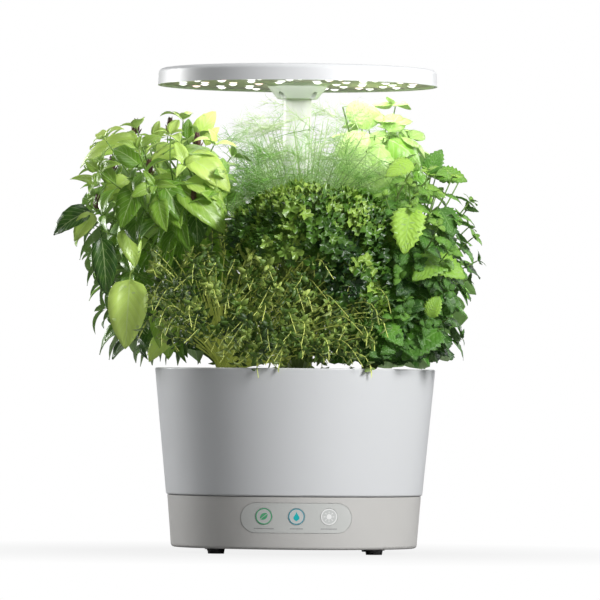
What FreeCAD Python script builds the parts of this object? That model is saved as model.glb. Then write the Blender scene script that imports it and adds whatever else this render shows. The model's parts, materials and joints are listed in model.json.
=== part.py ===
import FreeCAD, Part
import math
import os
import Sketcher

# Countertop hydroponic garden, in millimetres.
# Origin: on the worktop, in the middle of the whole's outline seen from above. +Z is up, and the
# control panel faces -Y. The plants spread further to the left of the post than to the right, so
# the post's axis stands at axis_x, and each finished sub-part is moved there.

V = FreeCAD.Vector
UP = V(0, 0, 1)
DOC = FreeCAD.newDocument("HydroponicGarden")
SHEET = DOC.addObject("Spreadsheet::Sheet", "Sizes")
NODES = {}

DRIVING_SIZES = (
    ("axis_x", 24.0),
    ("foot_height", 5.0),
    ("foot_radius", 8.2),
    ("foot_taper", 0.8),
    ("foot_spread_x", 72.5),
    ("foot_spread_y", 62.0),
    ("base_bottom_radius", 113.8),
    ("base_top_radius", 117.6),
    ("base_top", 53.0),
    ("base_wall", 2.6),
    ("base_edge_round", 3.0),
    ("plate_radius", 103.7),
    ("plate_thick", 2.4),
    ("boss_radius", 4.0),
    ("boss_circle", 92.0),
    ("seam_gap", 0.6),
    ("bowl_bottom_radius", 118.75),
    ("bowl_rim_radius", 130.0),
    ("bowl_rim", 170.5),
    ("bowl_wall", 2.6),
    ("bowl_floor", 56.0),
    ("bowl_floor_thick", 2.4),
    ("sleeve_radius", 20.9),
    ("sleeve_wall", 2.4),
    ("sleeve_top", 158.0),
    ("deck_radius", 125.9),
    ("deck_bottom", 163.0),
    ("deck_thick", 3.0),
    ("pod_circle", 78.0),
    ("pod_hole_radius", 21.4),
    ("pod_rim_radius", 24.5),
    ("pod_rim_thick", 2.0),
    ("pod_top_radius", 20.8),
    ("pod_bottom_radius", 15.5),
    ("pod_depth", 62.0),
    ("pod_wall", 1.4),
    ("pod_slot_width", 3.4),
    ("sponge_top_radius", 13.0),
    ("sponge_bottom_radius", 10.5),
    ("sponge_height", 50.0),
    ("label_radius", 22.5),
    ("label_hole_radius", 8.0),
    ("label_thick", 0.5),
    ("fill_circle", 101.0),
    ("fill_radius", 13.0),
    ("post_width", 26.0),
    ("post_depth", 18.0),
    ("post_wall", 1.8),
    ("sleeve_post_width", 31.0),
    ("sleeve_post_depth", 23.0),
    ("sleeve_post_wall", 2.1),
    ("sleeve_post_top", 236.0),
    ("post_foot", 7.4),
    ("post_foot_thick", 3.0),
    ("post_screw_x", 21.5),
    ("collar_width", 35.4),
    ("collar_depth", 27.4),
    ("collar_height", 14.0),
    ("slider_bottom", 200.0),
    ("slider_height", 8.0),
    ("hood_radius", 129.6),
    ("hood_bottom", 432.7),
    ("hood_height", 15.3),
    ("hood_wall", 2.2),
    ("hood_edge_round", 4.6),
    ("cover_recess", 2.0),
    ("cover_thick", 1.5),
    ("board_radius", 114.0),
    ("board_thick", 1.6),
    ("lens_radius", 4.0),
    ("hub_radius", 30.0),
    ("hub_height", 14.0),
    ("hub_screw_circle", 20.0),
    ("panel_length", 101.0),
    ("panel_height", 27.2),
    ("panel_z", 34.0),
    ("panel_thick", 1.4),
    ("panel_proud", 0.2),
    ("key_z", 35.4),
    ("key_pitch", 29.7),
    ("key_radius", 7.6),
    ("key_gap", 0.3),
    ("pump_y", 62.0),
    ("pump_radius", 18.0),
    ("pump_bottom", 61.0),
    ("pump_height", 24.0),
    ("impeller_radius", 11.0),
    ("shaft_radius", 1.2),
    ("float_radius", 11.0),
    ("float_height", 14.0),
    ("float_rod_radius", 2.8),
    ("float_rod_height", 92.0),
    ("screw_head_radius", 3.2),
    ("screw_radius", 1.5),
)


class Size:
    """A length with its value in millimetres and its formula in the sheet's cells."""

    def __init__(self, value, formula):
        self.value = float(value)
        self.formula = formula

    @staticmethod
    def of(number):
        """The number as a Size, so that numbers and sizes mix."""
        if isinstance(number, Size):
            return number
        return Size(number, "%.6f" % number)

    def joined(self, other, sign, value):
        """The size that a sign and another size or number give."""
        return Size(value, "(%s %s %s)" % (self.formula, sign, other.formula))

    def __add__(self, other):
        other = Size.of(other)
        return self.joined(other, "+", self.value + other.value)

    def __radd__(self, other):
        return Size.of(other) + self

    def __sub__(self, other):
        other = Size.of(other)
        return self.joined(other, "-", self.value - other.value)

    def __rsub__(self, other):
        return Size.of(other) - self

    def __mul__(self, other):
        other = Size.of(other)
        return self.joined(other, "*", self.value * other.value)

    def __rmul__(self, other):
        return Size.of(other) * self

    def __truediv__(self, other):
        other = Size.of(other)
        return self.joined(other, "/", self.value / other.value)

    def __neg__(self):
        return Size.of(0) - self

    def __float__(self):
        return self.value


def fill_sheet():
    """Writes the driving sizes into the sheet, one aliased cell each."""
    for row, (alias, value) in enumerate(DRIVING_SIZES, start=1):
        SHEET.set("A%d" % row, alias)
        SHEET.set("B%d" % row, str(value))
        SHEET.setAlias("B%d" % row, alias)
    DOC.recompute()


def size(alias):
    """The driving size of that name, bound to its cell."""
    return Size(getattr(SHEET, alias), "Sizes." + alias)


def keep(name, thing):
    """Labels a finished sub-part, which names its file, and moves it to the post's axis."""
    bound = dict(thing.ExpressionEngine)
    own = bound.get("Placement.Base.x", bound.get(".Placement.Base.x"))
    spot = thing.Placement.Base
    turn = thing.Placement.Rotation
    shift = size("axis_x")
    moved = Size(spot.x, own) + shift if own else shift
    thing.Placement = FreeCAD.Placement(V(moved.value, spot.y, spot.z), turn)
    thing.setExpression("Placement.Base.x", moved.formula)
    thing.Label = name
    NODES[name] = thing
    return thing


def bind(thing, **values):
    """Sets properties of an object and binds them to the sheet."""
    for name, value in values.items():
        value = Size.of(value)
        setattr(thing, name, value.value)
        thing.setExpression(name, value.formula)


def place(thing, x=0, y=0, z=0, axis=UP, angle=0.0):
    """Puts an object at a point bound to the sheet, turned about an axis."""
    spot = [Size.of(c) for c in (x, y, z)]
    base = V(*[c.value for c in spot])
    thing.Placement = FreeCAD.Placement(base, FreeCAD.Rotation(axis, angle))
    for letter, value in zip("xyz", spot):
        thing.setExpression("Placement.Base." + letter, value.formula)
    return thing


def cylinder(name, radius, height, x=0, y=0, z=0, axis=UP, angle=0.0):
    """A bound Part cylinder."""
    thing = DOC.addObject("Part::Cylinder", name)
    bind(thing, Radius=radius, Height=height)
    return place(thing, x, y, z, axis, angle)


def cone(name, low_radius, high_radius, height, x=0, y=0, z=0):
    """A bound Part cone standing on its first radius."""
    thing = DOC.addObject("Part::Cone", name)
    bind(thing, Radius1=low_radius, Radius2=high_radius, Height=height)
    return place(thing, x, y, z)


def box(name, length, width, height, x=0, y=0, z=0):
    """A bound Part box centred on x and y, standing on z."""
    thing = DOC.addObject("Part::Box", name)
    bind(thing, Length=length, Width=width, Height=height)
    x, y = Size.of(x) - Size.of(length) / 2, Size.of(y) - Size.of(width) / 2
    return place(thing, x, y, z)


def cut(name, base, tool):
    """One object less another."""
    thing = DOC.addObject("Part::Cut", name)
    thing.Base, thing.Tool = base, tool
    return thing


def fuse(name, *things):
    """Several objects as one."""
    thing = DOC.addObject("Part::MultiFuse", name)
    thing.Shapes = list(things)
    return thing


def common(name, *things):
    """What several objects share."""
    thing = DOC.addObject("Part::MultiCommon", name)
    thing.Shapes = list(things)
    return thing


def group(name, things):
    """Separate solids that share one node."""
    thing = DOC.addObject("Part::Compound", name)
    thing.Links = list(things)
    return keep(name, thing)


def plane(body, role):
    """An origin plane or axis of a body."""
    return next(f for f in body.Origin.OriginFeatures if f.Role == role)


def new_body(name):
    """An empty body for one sub-part."""
    return DOC.addObject("PartDesign::Body", name)


def new_sketch(body, name, role, offset=0.0):
    """A sketch on one of the body's own origin planes, raised by an offset."""
    sketch = body.newObject("Sketcher::SketchObject", name)
    sketch.AttachmentSupport = [(plane(body, role), "")]
    sketch.MapMode = "FlatFace"
    offset = Size.of(offset)
    sketch.AttachmentOffset = FreeCAD.Placement(V(0, 0, offset.value), FreeCAD.Rotation())
    sketch.setExpression("AttachmentOffset.Base.z", offset.formula)
    return sketch


def pin(sketch, geometry, end, x, y):
    """Holds a sketch point at bound coordinates."""
    for kind, axis, value in (("DistanceX", -2, Size.of(x)), ("DistanceY", -1, Size.of(y))):
        if value.value == 0.0:
            sketch.addConstraint(Sketcher.Constraint("PointOnObject", geometry, end, axis))
            continue
        made = Sketcher.Constraint(kind, -1, 1, geometry, end, value.value)
        number = sketch.addConstraint(made)
        sketch.setExpression("Constraints[%d]" % number, value.formula)


def draw_polygon(sketch, points):
    """A closed outline of straight lines whose corners are bound to the sheet."""
    first = sketch.GeometryCount
    spots = [V(float(Size.of(x)), float(Size.of(y)), 0) for x, y in points]
    count = len(spots)
    for k in range(count):
        sketch.addGeometry(Part.LineSegment(spots[k], spots[(k + 1) % count]))
    for k in range(count):
        following = first + (k + 1) % count
        sketch.addConstraint(Sketcher.Constraint("Coincident", first + k, 2, following, 1))
    for k, (x, y) in enumerate(points):
        pin(sketch, first + k, 1, x, y)


def draw_circle(sketch, x, y, radius):
    """A circle with a bound centre and radius."""
    radius = Size.of(radius)
    middle = V(float(Size.of(x)), float(Size.of(y)), 0)
    made = sketch.addGeometry(Part.Circle(middle, UP, radius.value))
    pin(sketch, made, 3, x, y)
    number = sketch.addConstraint(Sketcher.Constraint("Radius", made, radius.value))
    sketch.setExpression("Constraints[%d]" % number, radius.formula)


def draw_stadium(sketch, width, depth):
    """A centred outline with two straight sides along X and two half-round ends."""
    width, depth = Size.of(width), Size.of(depth)
    radius, half = depth / 2, (width - depth) / 2
    r, h = radius.value, half.value
    first = sketch.GeometryCount
    right = Part.ArcOfCircle(Part.Circle(V(h, 0, 0), UP, r), -math.pi / 2, math.pi / 2)
    left = Part.ArcOfCircle(Part.Circle(V(-h, 0, 0), UP, r), math.pi / 2, 1.5 * math.pi)
    sketch.addGeometry(right)
    sketch.addGeometry(Part.LineSegment(V(h, r, 0), V(-h, r, 0)))
    sketch.addGeometry(left)
    sketch.addGeometry(Part.LineSegment(V(-h, -r, 0), V(h, -r, 0)))
    for k in range(4):
        sketch.addConstraint(Sketcher.Constraint("Tangent", first + k, 2, first + (k + 1) % 4, 1))
    sketch.addConstraint(Sketcher.Constraint("Equal", first, first + 2))
    number = sketch.addConstraint(Sketcher.Constraint("Radius", first, r))
    sketch.setExpression("Constraints[%d]" % number, radius.formula)
    pin(sketch, first, 3, half, 0)
    pin(sketch, first + 2, 3, -half, 0)


def pad(body, sketch, length, down=False):
    """Raises a sketch into a solid."""
    made = body.newObject("PartDesign::Pad", sketch.Name + "_pad")
    made.Profile = sketch
    made.Reversed = down
    bind(made, Length=length)
    return made


def pocket(body, sketch, length, up=False):
    """Sinks a sketch into the solid."""
    made = body.newObject("PartDesign::Pocket", sketch.Name + "_pocket")
    made.Profile = sketch
    made.Reversed = up
    bind(made, Length=length)
    return made


def turned(body, sketch):
    """Turns a half section about the sketch's upright axis."""
    made = body.newObject("PartDesign::Revolution", sketch.Name + "_turned")
    made.Profile = sketch
    made.ReferenceAxis = (sketch, ["V_Axis"])
    made.Angle = 360.0
    return made


def repeated(body, feature, count):
    """Repeats a feature round the body's upright axis and makes it the tip."""
    made = body.newObject("PartDesign::PolarPattern", feature.Name + "_round")
    made.Originals = [feature]
    made.Axis = (plane(body, "Z_Axis"), [""])
    made.Angle = 360.0
    made.Occurrences = count
    body.Tip = made
    return made


def rounded(body, feature, radius, *rings):
    """Rounds the circular edges that lie at the given (radius, height) pairs."""
    DOC.recompute()
    names = []
    for number, edge in enumerate(feature.Shape.Edges, start=1):
        if not isinstance(edge.Curve, Part.Circle):
            continue
        for ring_radius, height in rings:
            near = abs(edge.Curve.Radius - float(Size.of(ring_radius))) < 0.02
            if near and abs(edge.Curve.Center.z - float(Size.of(height))) < 0.02:
                names.append("Edge%d" % number)
    made = body.newObject("PartDesign::Fillet", feature.Name + "_rounded")
    made.Base = (feature, names)
    bind(made, Radius=radius)
    return made


def turned_part(name, points):
    """A body made by turning one closed half section about Z."""
    body = new_body(name)
    sketch = new_sketch(body, name + "_section", "XZ_Plane")
    draw_polygon(sketch, points)
    turned(body, sketch)
    return body


def at_angle(radius, degrees):
    """The bound x and y of a point on a circle about the origin."""
    turn = math.radians(degrees)
    return radius * math.cos(turn), radius * math.sin(turn)


def foot(number, x, y):
    """One rubber foot: a tapered pad with a stud that the base plate holds."""
    radius, height = size("foot_radius"), size("foot_height")
    pad_part = cone("foot_pad_%d" % number, radius - size("foot_taper"), radius, height, x, y)
    stud = cylinder("foot_stud_%d" % number, 3.0, size("plate_thick") - 0.4, x, y, height)
    return fuse("foot_%d" % number, pad_part, stud)


def foot_spots():
    """The centres of the four feet."""
    x, y = size("foot_spread_x"), size("foot_spread_y")
    return [(x, y), (-x, y), (-x, -y), (x, -y)]


BOSS_ANGLES = (30, 150, 210, 330)


def base_radius_at(z):
    """The outside radius of the tapered base at a height."""
    low, high = size("base_bottom_radius"), size("base_top_radius")
    return low + (high - low) * (z - size("foot_height")) / (size("base_top") - size("foot_height"))


def taper(name, offset, margin=6.0):
    """A solid cone frustum that follows the outside of the base, moved out by an offset."""
    bottom, top = size("foot_height") - margin, size("base_top") + margin
    low, high = base_radius_at(bottom) + offset, base_radius_at(top) + offset
    return cone(name, low, high, top - bottom, 0, 0, bottom)


def pill(name, length, height, z):
    """A pill-shaped block that runs out through the front of the base."""
    body = new_body(name)
    sketch = new_sketch(body, name + "_outline", "XZ_Plane", 60.0)
    draw_stadium(sketch, length, height)
    pad(body, sketch, 70.0)
    return place(body, 0, 0, z)


def front_rod(name, radius, x, z, near, far):
    """A round rod along Y between two distances in front of the origin."""
    return cylinder(name, radius, far - near, x, -near, z, V(1, 0, 0), 90.0)


KEY_COLUMNS = (("feed", -1), ("water", 0), ("light", 1))


def make_base_housing():
    """The tapered base shell: side wall, bottom flange, top shelf, bosses and openings."""
    low, high = size("base_bottom_radius"), size("base_top_radius")
    foot_z, top = size("foot_height"), size("base_top")
    wall, plate = size("base_wall"), size("plate_thick")
    flange, shelf_hole = size("plate_radius") + 0.3, 22.0
    body = turned_part("base_shell", [
        (flange, foot_z),
        (low, foot_z),
        (high, top),
        (shelf_hole, top),
        (shelf_hole, top - plate),
        (high - wall - 0.2, top - plate),
        (low - wall + 0.2, foot_z + plate),
        (flange, foot_z + plate),
    ])
    rounded(body, body.Tip, size("base_edge_round"), (low, foot_z))
    bosses = []
    for number, degrees in enumerate(BOSS_ANGLES, start=1):
        x, y = at_angle(size("boss_circle"), degrees)
        height = top - plate - foot_z - plate
        outer = cylinder("boss_%d" % number, size("boss_radius"), height, x, y, foot_z + plate)
        hole = cylinder("boss_hole_%d" % number, size("screw_radius") + 0.05, height - 8.0, x, y,
                        foot_z + plate)
        bosses.append(cut("bored_boss_%d" % number, outer, hole))
    ring = cut(
        "locating_ring",
        cylinder("locating_ring_outer", 98.4, 2.2, 0, 0, top),
        cylinder("locating_ring_inner", 96.0, 2.2, 0, 0, top),
    )
    solid = fuse("base_with_bosses", body, ring, *bosses)
    gap = size("key_gap")
    recess = cut(
        "panel_recess",
        pill("recess_pill", size("panel_length") + 2 * gap, size("panel_height") + 2 * gap,
             size("panel_z")),
        taper("recess_floor", -size("panel_thick") - 0.1),
    )
    openings = [recess]
    for name, side in KEY_COLUMNS:
        openings.append(front_rod("wall_hole_" + name, size("key_radius") + 1.9,
                                  side * size("key_pitch"), size("key_z"), 104.0, 125.0))
    jack_hole = cylinder("jack_hole", 5.9, 14.0, 0, 119.0, 23.1, V(1, 0, 0), 90.0)
    plug_hole = cylinder("pump_plug_hole", 7.2, 12.0, 0, size("pump_y"), top - 6.0)
    tools = fuse("base_openings", *openings, jack_hole, plug_hole)
    keep("base_housing", cut("housing_cut", solid, tools))


def make_base_plate():
    """The bottom cover with screw holes, foot pockets, standoffs and board rests."""
    body = new_body("base_plate_body")
    sketch = new_sketch(body, "plate_outline", "XY_Plane", size("foot_height"))
    draw_circle(sketch, 0, 0, size("plate_radius"))
    for degrees in BOSS_ANGLES:
        x, y = at_angle(size("boss_circle"), degrees)
        draw_circle(sketch, x, y, 1.8)
    for x, y in foot_spots():
        draw_circle(sketch, x, y, 3.1)
    for side in (-1, 1):
        draw_circle(sketch, side * size("post_screw_x"), 0, size("screw_radius") + 0.05)
    pad(body, sketch, size("plate_thick"))
    top = size("foot_height") + size("plate_thick")
    stands = []
    for number, (x, y) in enumerate(((-28, 55), (28, 55), (-28, 96), (28, 96)), start=1):
        stands.append(cylinder("standoff_%d" % number, 3.0, 16.0 - top, x, y, top))
    for number, x in enumerate((-34.0, 34.0), start=1):
        rest = box("board_rest_%d" % number, 5.0, 7.0, 22.0 - top, x, -100.8, top)
        groove = box("board_groove_%d" % number, 6.0, 1.9, 4.0, x, -100.8, 18.0)
        stands.append(cut("grooved_rest_%d" % number, rest, groove))
    keep("base_plate", fuse("plate_with_stands", body, *stands))


def screw(name, x, y, z, length, head=None, up=True):
    """A cross-recess pan-head screw along Z; its head's outer face is at z."""
    head = head or size("screw_head_radius")
    way = 1 if up else -1
    head_z = z if up else z - 1.4
    shank_z = z + 1.4 if up else z - 1.4 - length
    parts = fuse(
        name + "_blank",
        cylinder(name + "_head", head, 1.4, x, y, head_z),
        cylinder(name + "_shank", size("screw_radius"), length, x, y, shank_z),
    )
    low = z - 0.1 if up else z - 0.7
    slot = fuse(
        name + "_cross",
        box(name + "_slot_a", 3.2, 0.7, 0.8, x, y, low),
        box(name + "_slot_b", 0.7, 3.2, 0.8, x, y, low),
    )
    return cut(name + ("_up" if way > 0 else "_down"), parts, slot)


def make_base_fasteners():
    """The feet and the screws under the base."""
    group("feet", [foot(n, x, y) for n, (x, y) in enumerate(foot_spots(), start=1)])
    screws = []
    for number, degrees in enumerate(BOSS_ANGLES, start=1):
        x, y = at_angle(size("boss_circle"), degrees)
        name = "base_screw_%d" % number
        screws.append(screw(name, x, y, size("foot_height") - 1.4, 12.0))
    group("base_screws", screws)


def make_panel():
    """The pill-shaped panel plate and its three round keys."""
    proud, thick = size("panel_proud"), size("panel_thick")
    blank = common(
        "panel_blank",
        pill("panel_pill", size("panel_length"), size("panel_height"), size("panel_z")),
        taper("panel_face", proud),
    )
    inner = taper("panel_back", proud - thick)
    holes = [
        front_rod("panel_hole_" + name, size("key_radius") + size("key_gap"),
                  side * size("key_pitch"), size("key_z"), 100.0, 130.0)
        for name, side in KEY_COLUMNS
    ]
    keep("panel_plate", cut("panel_cut", blank, fuse("panel_tools", inner, *holes)))
    for name, side in KEY_COLUMNS:
        make_key(name, side * size("key_pitch"))


def make_key(name, x):
    """A round key: a head flush with the taper, a retaining flange behind it and a stem."""
    z, radius = size("key_z"), size("key_radius")
    proud, thick = size("panel_proud"), size("panel_thick")
    head = common(
        name + "_head",
        cut(
            name + "_head_shell",
            taper(name + "_head_face", proud + 0.3),
            taper(name + "_head_back", proud - thick - 1.4),
        ),
        front_rod(name + "_head_rod", radius, x, z, 90.0, 130.0),
    )
    flange = common(
        name + "_flange",
        cut(
            name + "_flange_shell",
            taper(name + "_flange_face", proud - thick - 0.2),
            taper(name + "_flange_back", proud - thick - 1.4),
        ),
        front_rod(name + "_flange_rod", radius + 1.2, x, z, 90.0, 130.0),
    )
    parts = [head, flange]
    if name != "water":
        parts.append(common(
            name + "_stem_cut",
            taper(name + "_stem_limit", proud - thick - 1.0),
            front_rod(name + "_stem", 2.4, x, z, 106.4, 120.0),
        ))
    label = "water_lamp" if name == "water" else name + "_key"
    keep(label, fuse(name + "_whole", *parts))


def make_electronics():
    """Control board and switches, driver board and parts, jack and leads."""
    keep("control_board", box("control_board_box", 84.0, 1.6, 30.0, 0, -100.8, 18.0))
    switches = []
    for name, side in KEY_COLUMNS:
        if side == 0:
            continue
        x = side * size("key_pitch")
        body = box(name + "_switch_body", 6.2, 2.4, 6.2, x, -102.8, size("key_z") - 3.1)
        plunger = front_rod(name + "_switch_plunger", 1.7, x, size("key_z"), 104.0, 105.2)
        switches.append(fuse(name + "_switch", body, plunger))
    group("tact_switches", switches)
    lamps = []
    for name, side in KEY_COLUMNS:
        x = side * size("key_pitch") + (5.0 if side else 0.0)
        lamps.append(box(name + "_lamp", 2.8, 1.4, 2.8, x, -102.3, size("key_z") - 7.4))
    group("indicator_lamps", lamps)
    keep("driver_board", box("driver_board_box", 66.0, 54.0, 1.6, 0, 77.0, 16.0))
    board_top = 17.6
    driver_parts = [
        cylinder("capacitor_large", 5.0, 16.0, -22.0, 66.0, board_top),
        cylinder("capacitor_small", 3.2, 9.0, -22.0, 80.0, board_top),
        box("inductor", 11.0, 11.0, 7.0, 20.0, 66.0, board_top),
        box("controller_chip", 9.0, 9.0, 1.6, 18.0, 84.0, board_top),
    ]
    group("driver_parts", driver_parts)
    shell = fuse(
        "jack_shell",
        box("jack_block", 11.0, 12.0, 11.0, 0, 101.0, board_top),
        cylinder("jack_barrel", 5.5, 9.0, 0, 114.5, 23.1, V(1, 0, 0), 90.0),
    )
    hollow = cut(
        "jack_socket",
        cylinder("jack_bore", 2.9, 10.0, 0, 115.5, 23.1, V(1, 0, 0), 90.0),
        cylinder("jack_pin", 1.0, 11.0, 0, 114.5, 23.1, V(1, 0, 0), 90.0),
    )
    keep("power_jack", cut("jack_cut", shell, hollow))
    lead("panel_lead", 1.8, [
        V(-26, 52.0, 19.5), V(-34, 40, 19.5), V(-44, 10, 19.5), V(-46, -30, 21.0),
        V(-38, -64, 24.0), V(-24, -84, 28.0), V(-20, -92, 30.0), V(-20, -100.0, 30.0),
    ])
    keep("pump_lead", cylinder("pump_lead_rod", 1.5, 29.2, 0, size("pump_y"), board_top))


def smooth_path(points):
    """A wire of straight runs joined by tangent arcs as large as the runs allow."""
    edges, start = [], points[0]
    for before, corner, after in zip(points, points[1:], points[2:]):
        to_back, to_next = before - corner, after - corner
        back, ahead = V(to_back).normalize(), V(to_next).normalize()
        reach = 0.45 * min(to_back.Length, to_next.Length)
        bisector = (back + ahead).normalize()
        half = back.getAngle(bisector)
        radius = reach * math.tan(half)
        centre = corner + bisector * (radius / math.sin(half))
        middle = centre - bisector * radius
        enter, leave = corner + back * reach, corner + ahead * reach
        edges.append(Part.LineSegment(start, enter).toShape())
        edges.append(Part.Arc(enter, middle, leave).toShape())
        start = leave
    edges.append(Part.LineSegment(start, points[-1]).toShape())
    return Part.Wire(edges)


def tube(points, radius):
    """A round tube along a path of points."""
    path = smooth_path(points)
    first = path.Edges[0]
    heading = first.tangentAt(first.FirstParameter)
    ring = Part.Wire(Part.makeCircle(radius, points[0], heading))
    return path.makePipeShell([ring], True, False)


def lead(name, radius, points):
    """A round lead that is held all the way."""
    thing = DOC.addObject("Part::Feature", name + "_tube")
    thing.Shape = tube(points, radius)
    return keep(name, thing)


def make_bowl():
    """The water bowl: tapered wall, floor, centre sleeve and deck ledge in one moulding."""
    low, high = size("bowl_bottom_radius"), size("bowl_rim_radius")
    bottom, rim = size("base_top") + size("seam_gap"), size("bowl_rim")
    wall, floor = size("bowl_wall"), size("bowl_floor")
    slope = (high - low) / (rim - bottom)
    ledge, deck = 3.0, size("deck_bottom")
    inside = low - wall
    sleeve, sleeve_in = size("sleeve_radius"), size("sleeve_radius") - size("sleeve_wall")
    floor_top = floor + size("bowl_floor_thick")
    ring = 102.0
    body = turned_part("bowl_shell", [
        (sleeve_in, floor),
        (ring, floor),
        (ring, size("base_top")),
        (ring + 3.0, size("base_top")),
        (ring + 3.0, floor),
        (inside + 0.6, floor),
        (inside + 0.6, bottom),
        (low, bottom),
        (high, rim),
        (high - wall, rim),
        (inside + slope * (deck - bottom), deck),
        (inside + slope * (deck - bottom) - 5.4, deck),
        (inside + slope * (deck - bottom) - 5.4, deck - ledge),
        (inside + slope * (deck - ledge - 5.0 - bottom), deck - ledge - 5.0),
        (inside + slope * (floor_top - bottom), floor_top),
        (sleeve, floor_top),
        (sleeve, size("sleeve_top")),
        (sleeve_in, size("sleeve_top")),
    ])
    rounded(body, body.Tip, 1.15, (high, rim), (high - wall, rim))
    rounded(body, body.Tip, 2.0, (low, bottom))
    hole = cylinder("bowl_plug_hole", 6.8, 8.0, 0, size("pump_y"), floor - 2.0)
    keep("bowl", cut("bowl_cut", body, hole))


POD_ANGLES = (30, 90, 150, 210, 270, 330)
FILL_ANGLE = 300


def make_deck():
    """The grow deck: plate, skirt, raised pod collars, pod holes, fill hole and post hole."""
    bottom, thick, radius = size("deck_bottom"), size("deck_thick"), size("deck_radius")
    top = bottom + thick
    skirt = 117.0
    body = turned_part("deck_plate", [
        (18.4, bottom),
        (skirt, bottom),
        (skirt, bottom - 12.0),
        (skirt + 2.2, bottom - 12.0),
        (skirt + 2.2, bottom),
        (radius, bottom),
        (radius, top),
        (18.4, top),
    ])
    holes = new_sketch(body, "pod_hole", "XY_Plane", top)
    x, y = at_angle(size("pod_circle"), POD_ANGLES[0])
    draw_circle(holes, x, y, size("pod_hole_radius"))
    DOC.recompute()
    repeated(body, pocket(body, holes, thick + 1.0), len(POD_ANGLES))
    fill = new_sketch(body, "fill_hole", "XY_Plane", top)
    x, y = at_angle(size("fill_circle"), FILL_ANGLE)
    draw_circle(fill, x, y, size("fill_radius"))
    pocket(body, fill, thick + 1.0)
    lip = cut(
        "fill_lip",
        cylinder("fill_lip_outer", size("fill_radius") + 1.8, 2.0, x, y, top),
        cylinder("fill_lip_inner", size("fill_radius"), 2.0, x, y, top),
    )
    keep("grow_deck", fuse("deck_with_lip", body, lip))


def make_basket(number, degrees):
    """One seed pod basket: flanged tapered cup with a holed floor and slotted sides."""
    top = size("deck_bottom") + size("deck_thick")
    wall, depth = size("pod_wall"), size("pod_depth")
    high, low = size("pod_top_radius"), size("pod_bottom_radius")
    bottom, name = top - depth, "basket_body_%d" % number
    body = turned_part(name, [
        (5.0, bottom),
        (low, bottom),
        (high, top),
        (size("pod_rim_radius"), top),
        (size("pod_rim_radius"), top + size("pod_rim_thick")),
        (high - wall, top + size("pod_rim_thick")),
        (high - wall, top),
        (low - wall, bottom + wall),
        (5.0, bottom + wall),
    ])
    slot = new_sketch(body, name + "_slot", "XZ_Plane", -2.0)
    half, low_z, high_z = size("pod_slot_width") / 2, bottom + 8.0, top - 12.0
    draw_polygon(slot, [(-half, low_z), (half, low_z), (half, high_z), (-half, high_z)])
    DOC.recompute()
    whole = body.Shape.Volume
    cutting = pocket(body, slot, 30.0)
    DOC.recompute()
    if body.Shape.Volume >= whole:
        cutting.Reversed = True
    repeated(body, cutting, 8)
    x, y = at_angle(size("pod_circle"), degrees)
    keep("pod_basket_%d" % number, place(body, x, y, 0))


def make_pods():
    """Six baskets, their sponges and their labels."""
    sponges, labels = [], []
    top = size("deck_bottom") + size("deck_thick") + size("pod_rim_thick")
    for number, degrees in enumerate(POD_ANGLES, start=1):
        make_basket(number, degrees)
        x, y = at_angle(size("pod_circle"), degrees)
        z = top - 3.0 - size("sponge_height")
        sponges.append(cone("sponge_%d" % number, size("sponge_bottom_radius"),
                            size("sponge_top_radius"), size("sponge_height"), x, y, z))
        disc = cylinder("label_disc_%d" % number, size("label_radius"), size("label_thick"),
                        x, y, top)
        hole = cylinder("label_hole_%d" % number, size("label_hole_radius"), 2.0, x, y, top - 0.5)
        labels.append(cut("label_%d" % number, disc, hole))
    group("grow_sponges", sponges)
    group("pod_labels", labels)


def make_pump():
    """The submersible pump: plug and seal, housing, shaft, impeller, cover and filter."""
    y, bottom, height = size("pump_y"), size("pump_bottom"), size("pump_height")
    floor_top = size("bowl_floor") + size("bowl_floor_thick")
    plug = fuse(
        "pump_plug_whole",
        cylinder("pump_plug_pin", 6.5, floor_top + 1.2 - 46.8, 0, y, 46.8),
        cylinder("pump_plug_flange", 11.0, bottom - floor_top - 1.2, 0, y, floor_top + 1.2),
    )
    keep("pump_plug", plug)
    keep("plug_seal", cut(
        "seal_cut",
        cylinder("seal_disc", 10.4, 1.2, 0, y, floor_top),
        cylinder("seal_hole", 6.9, 3.0, 0, y, floor_top - 1.0),
    ))
    blank = fuse(
        "pump_blank",
        cylinder("pump_can", size("pump_radius"), height, 0, y, bottom),
        cylinder("pump_nozzle", 3.6, 26.0, 11.0, y + 8.0, bottom + 18.0, V(0, 1, 0), 90.0),
    )
    chamber, well = size("impeller_radius") + 1.0, 7.0
    tools = fuse(
        "pump_hollows",
        cylinder("impeller_chamber", chamber, 12.0, 0, y, bottom + height - 11.0),
        cylinder("rotor_well", well, 12.0, 0, y, bottom + 4.0),
        cylinder("nozzle_bore", 2.4, 40.0, 0, y + 8.0, bottom + 18.0, V(0, 1, 0), 90.0),
    )
    keep("pump_housing", cut("pump_housing_cut", blank, tools))
    keep("impeller_shaft", cylinder("shaft_rod", size("shaft_radius"), height - 2.0, 0, y,
                                    bottom + 4.0))
    make_impeller(y, bottom)
    cover = cut(
        "cover_disc_cut",
        cylinder("pump_cover_disc", size("pump_radius"), 2.4, 0, y, bottom + height),
        fuse("cover_intakes", cylinder("shaft_seat", size("shaft_radius") + 0.1, 3.0, 0, y,
                                       bottom + height - 1.0), *cover_holes(y, bottom + height)),
    )
    keep("pump_cover", cover)
    keep("pump_filter", cut(
        "filter_cut",
        cylinder("filter_foam", size("pump_radius") - 1.0, 9.0, 0, y, bottom + height + 2.4),
        cylinder("filter_eye", 4.0, 11.0, 0, y, bottom + height + 1.4),
    ))


def cover_holes(y, z):
    """A ring of intake holes through the pump cover."""
    holes = []
    for number in range(6):
        dx, dy = at_angle(6.5, 60 * number)
        holes.append(cylinder("intake_%d" % number, 1.9, 5.0, dx, y + dy, z - 1.0))
    return holes


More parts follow.
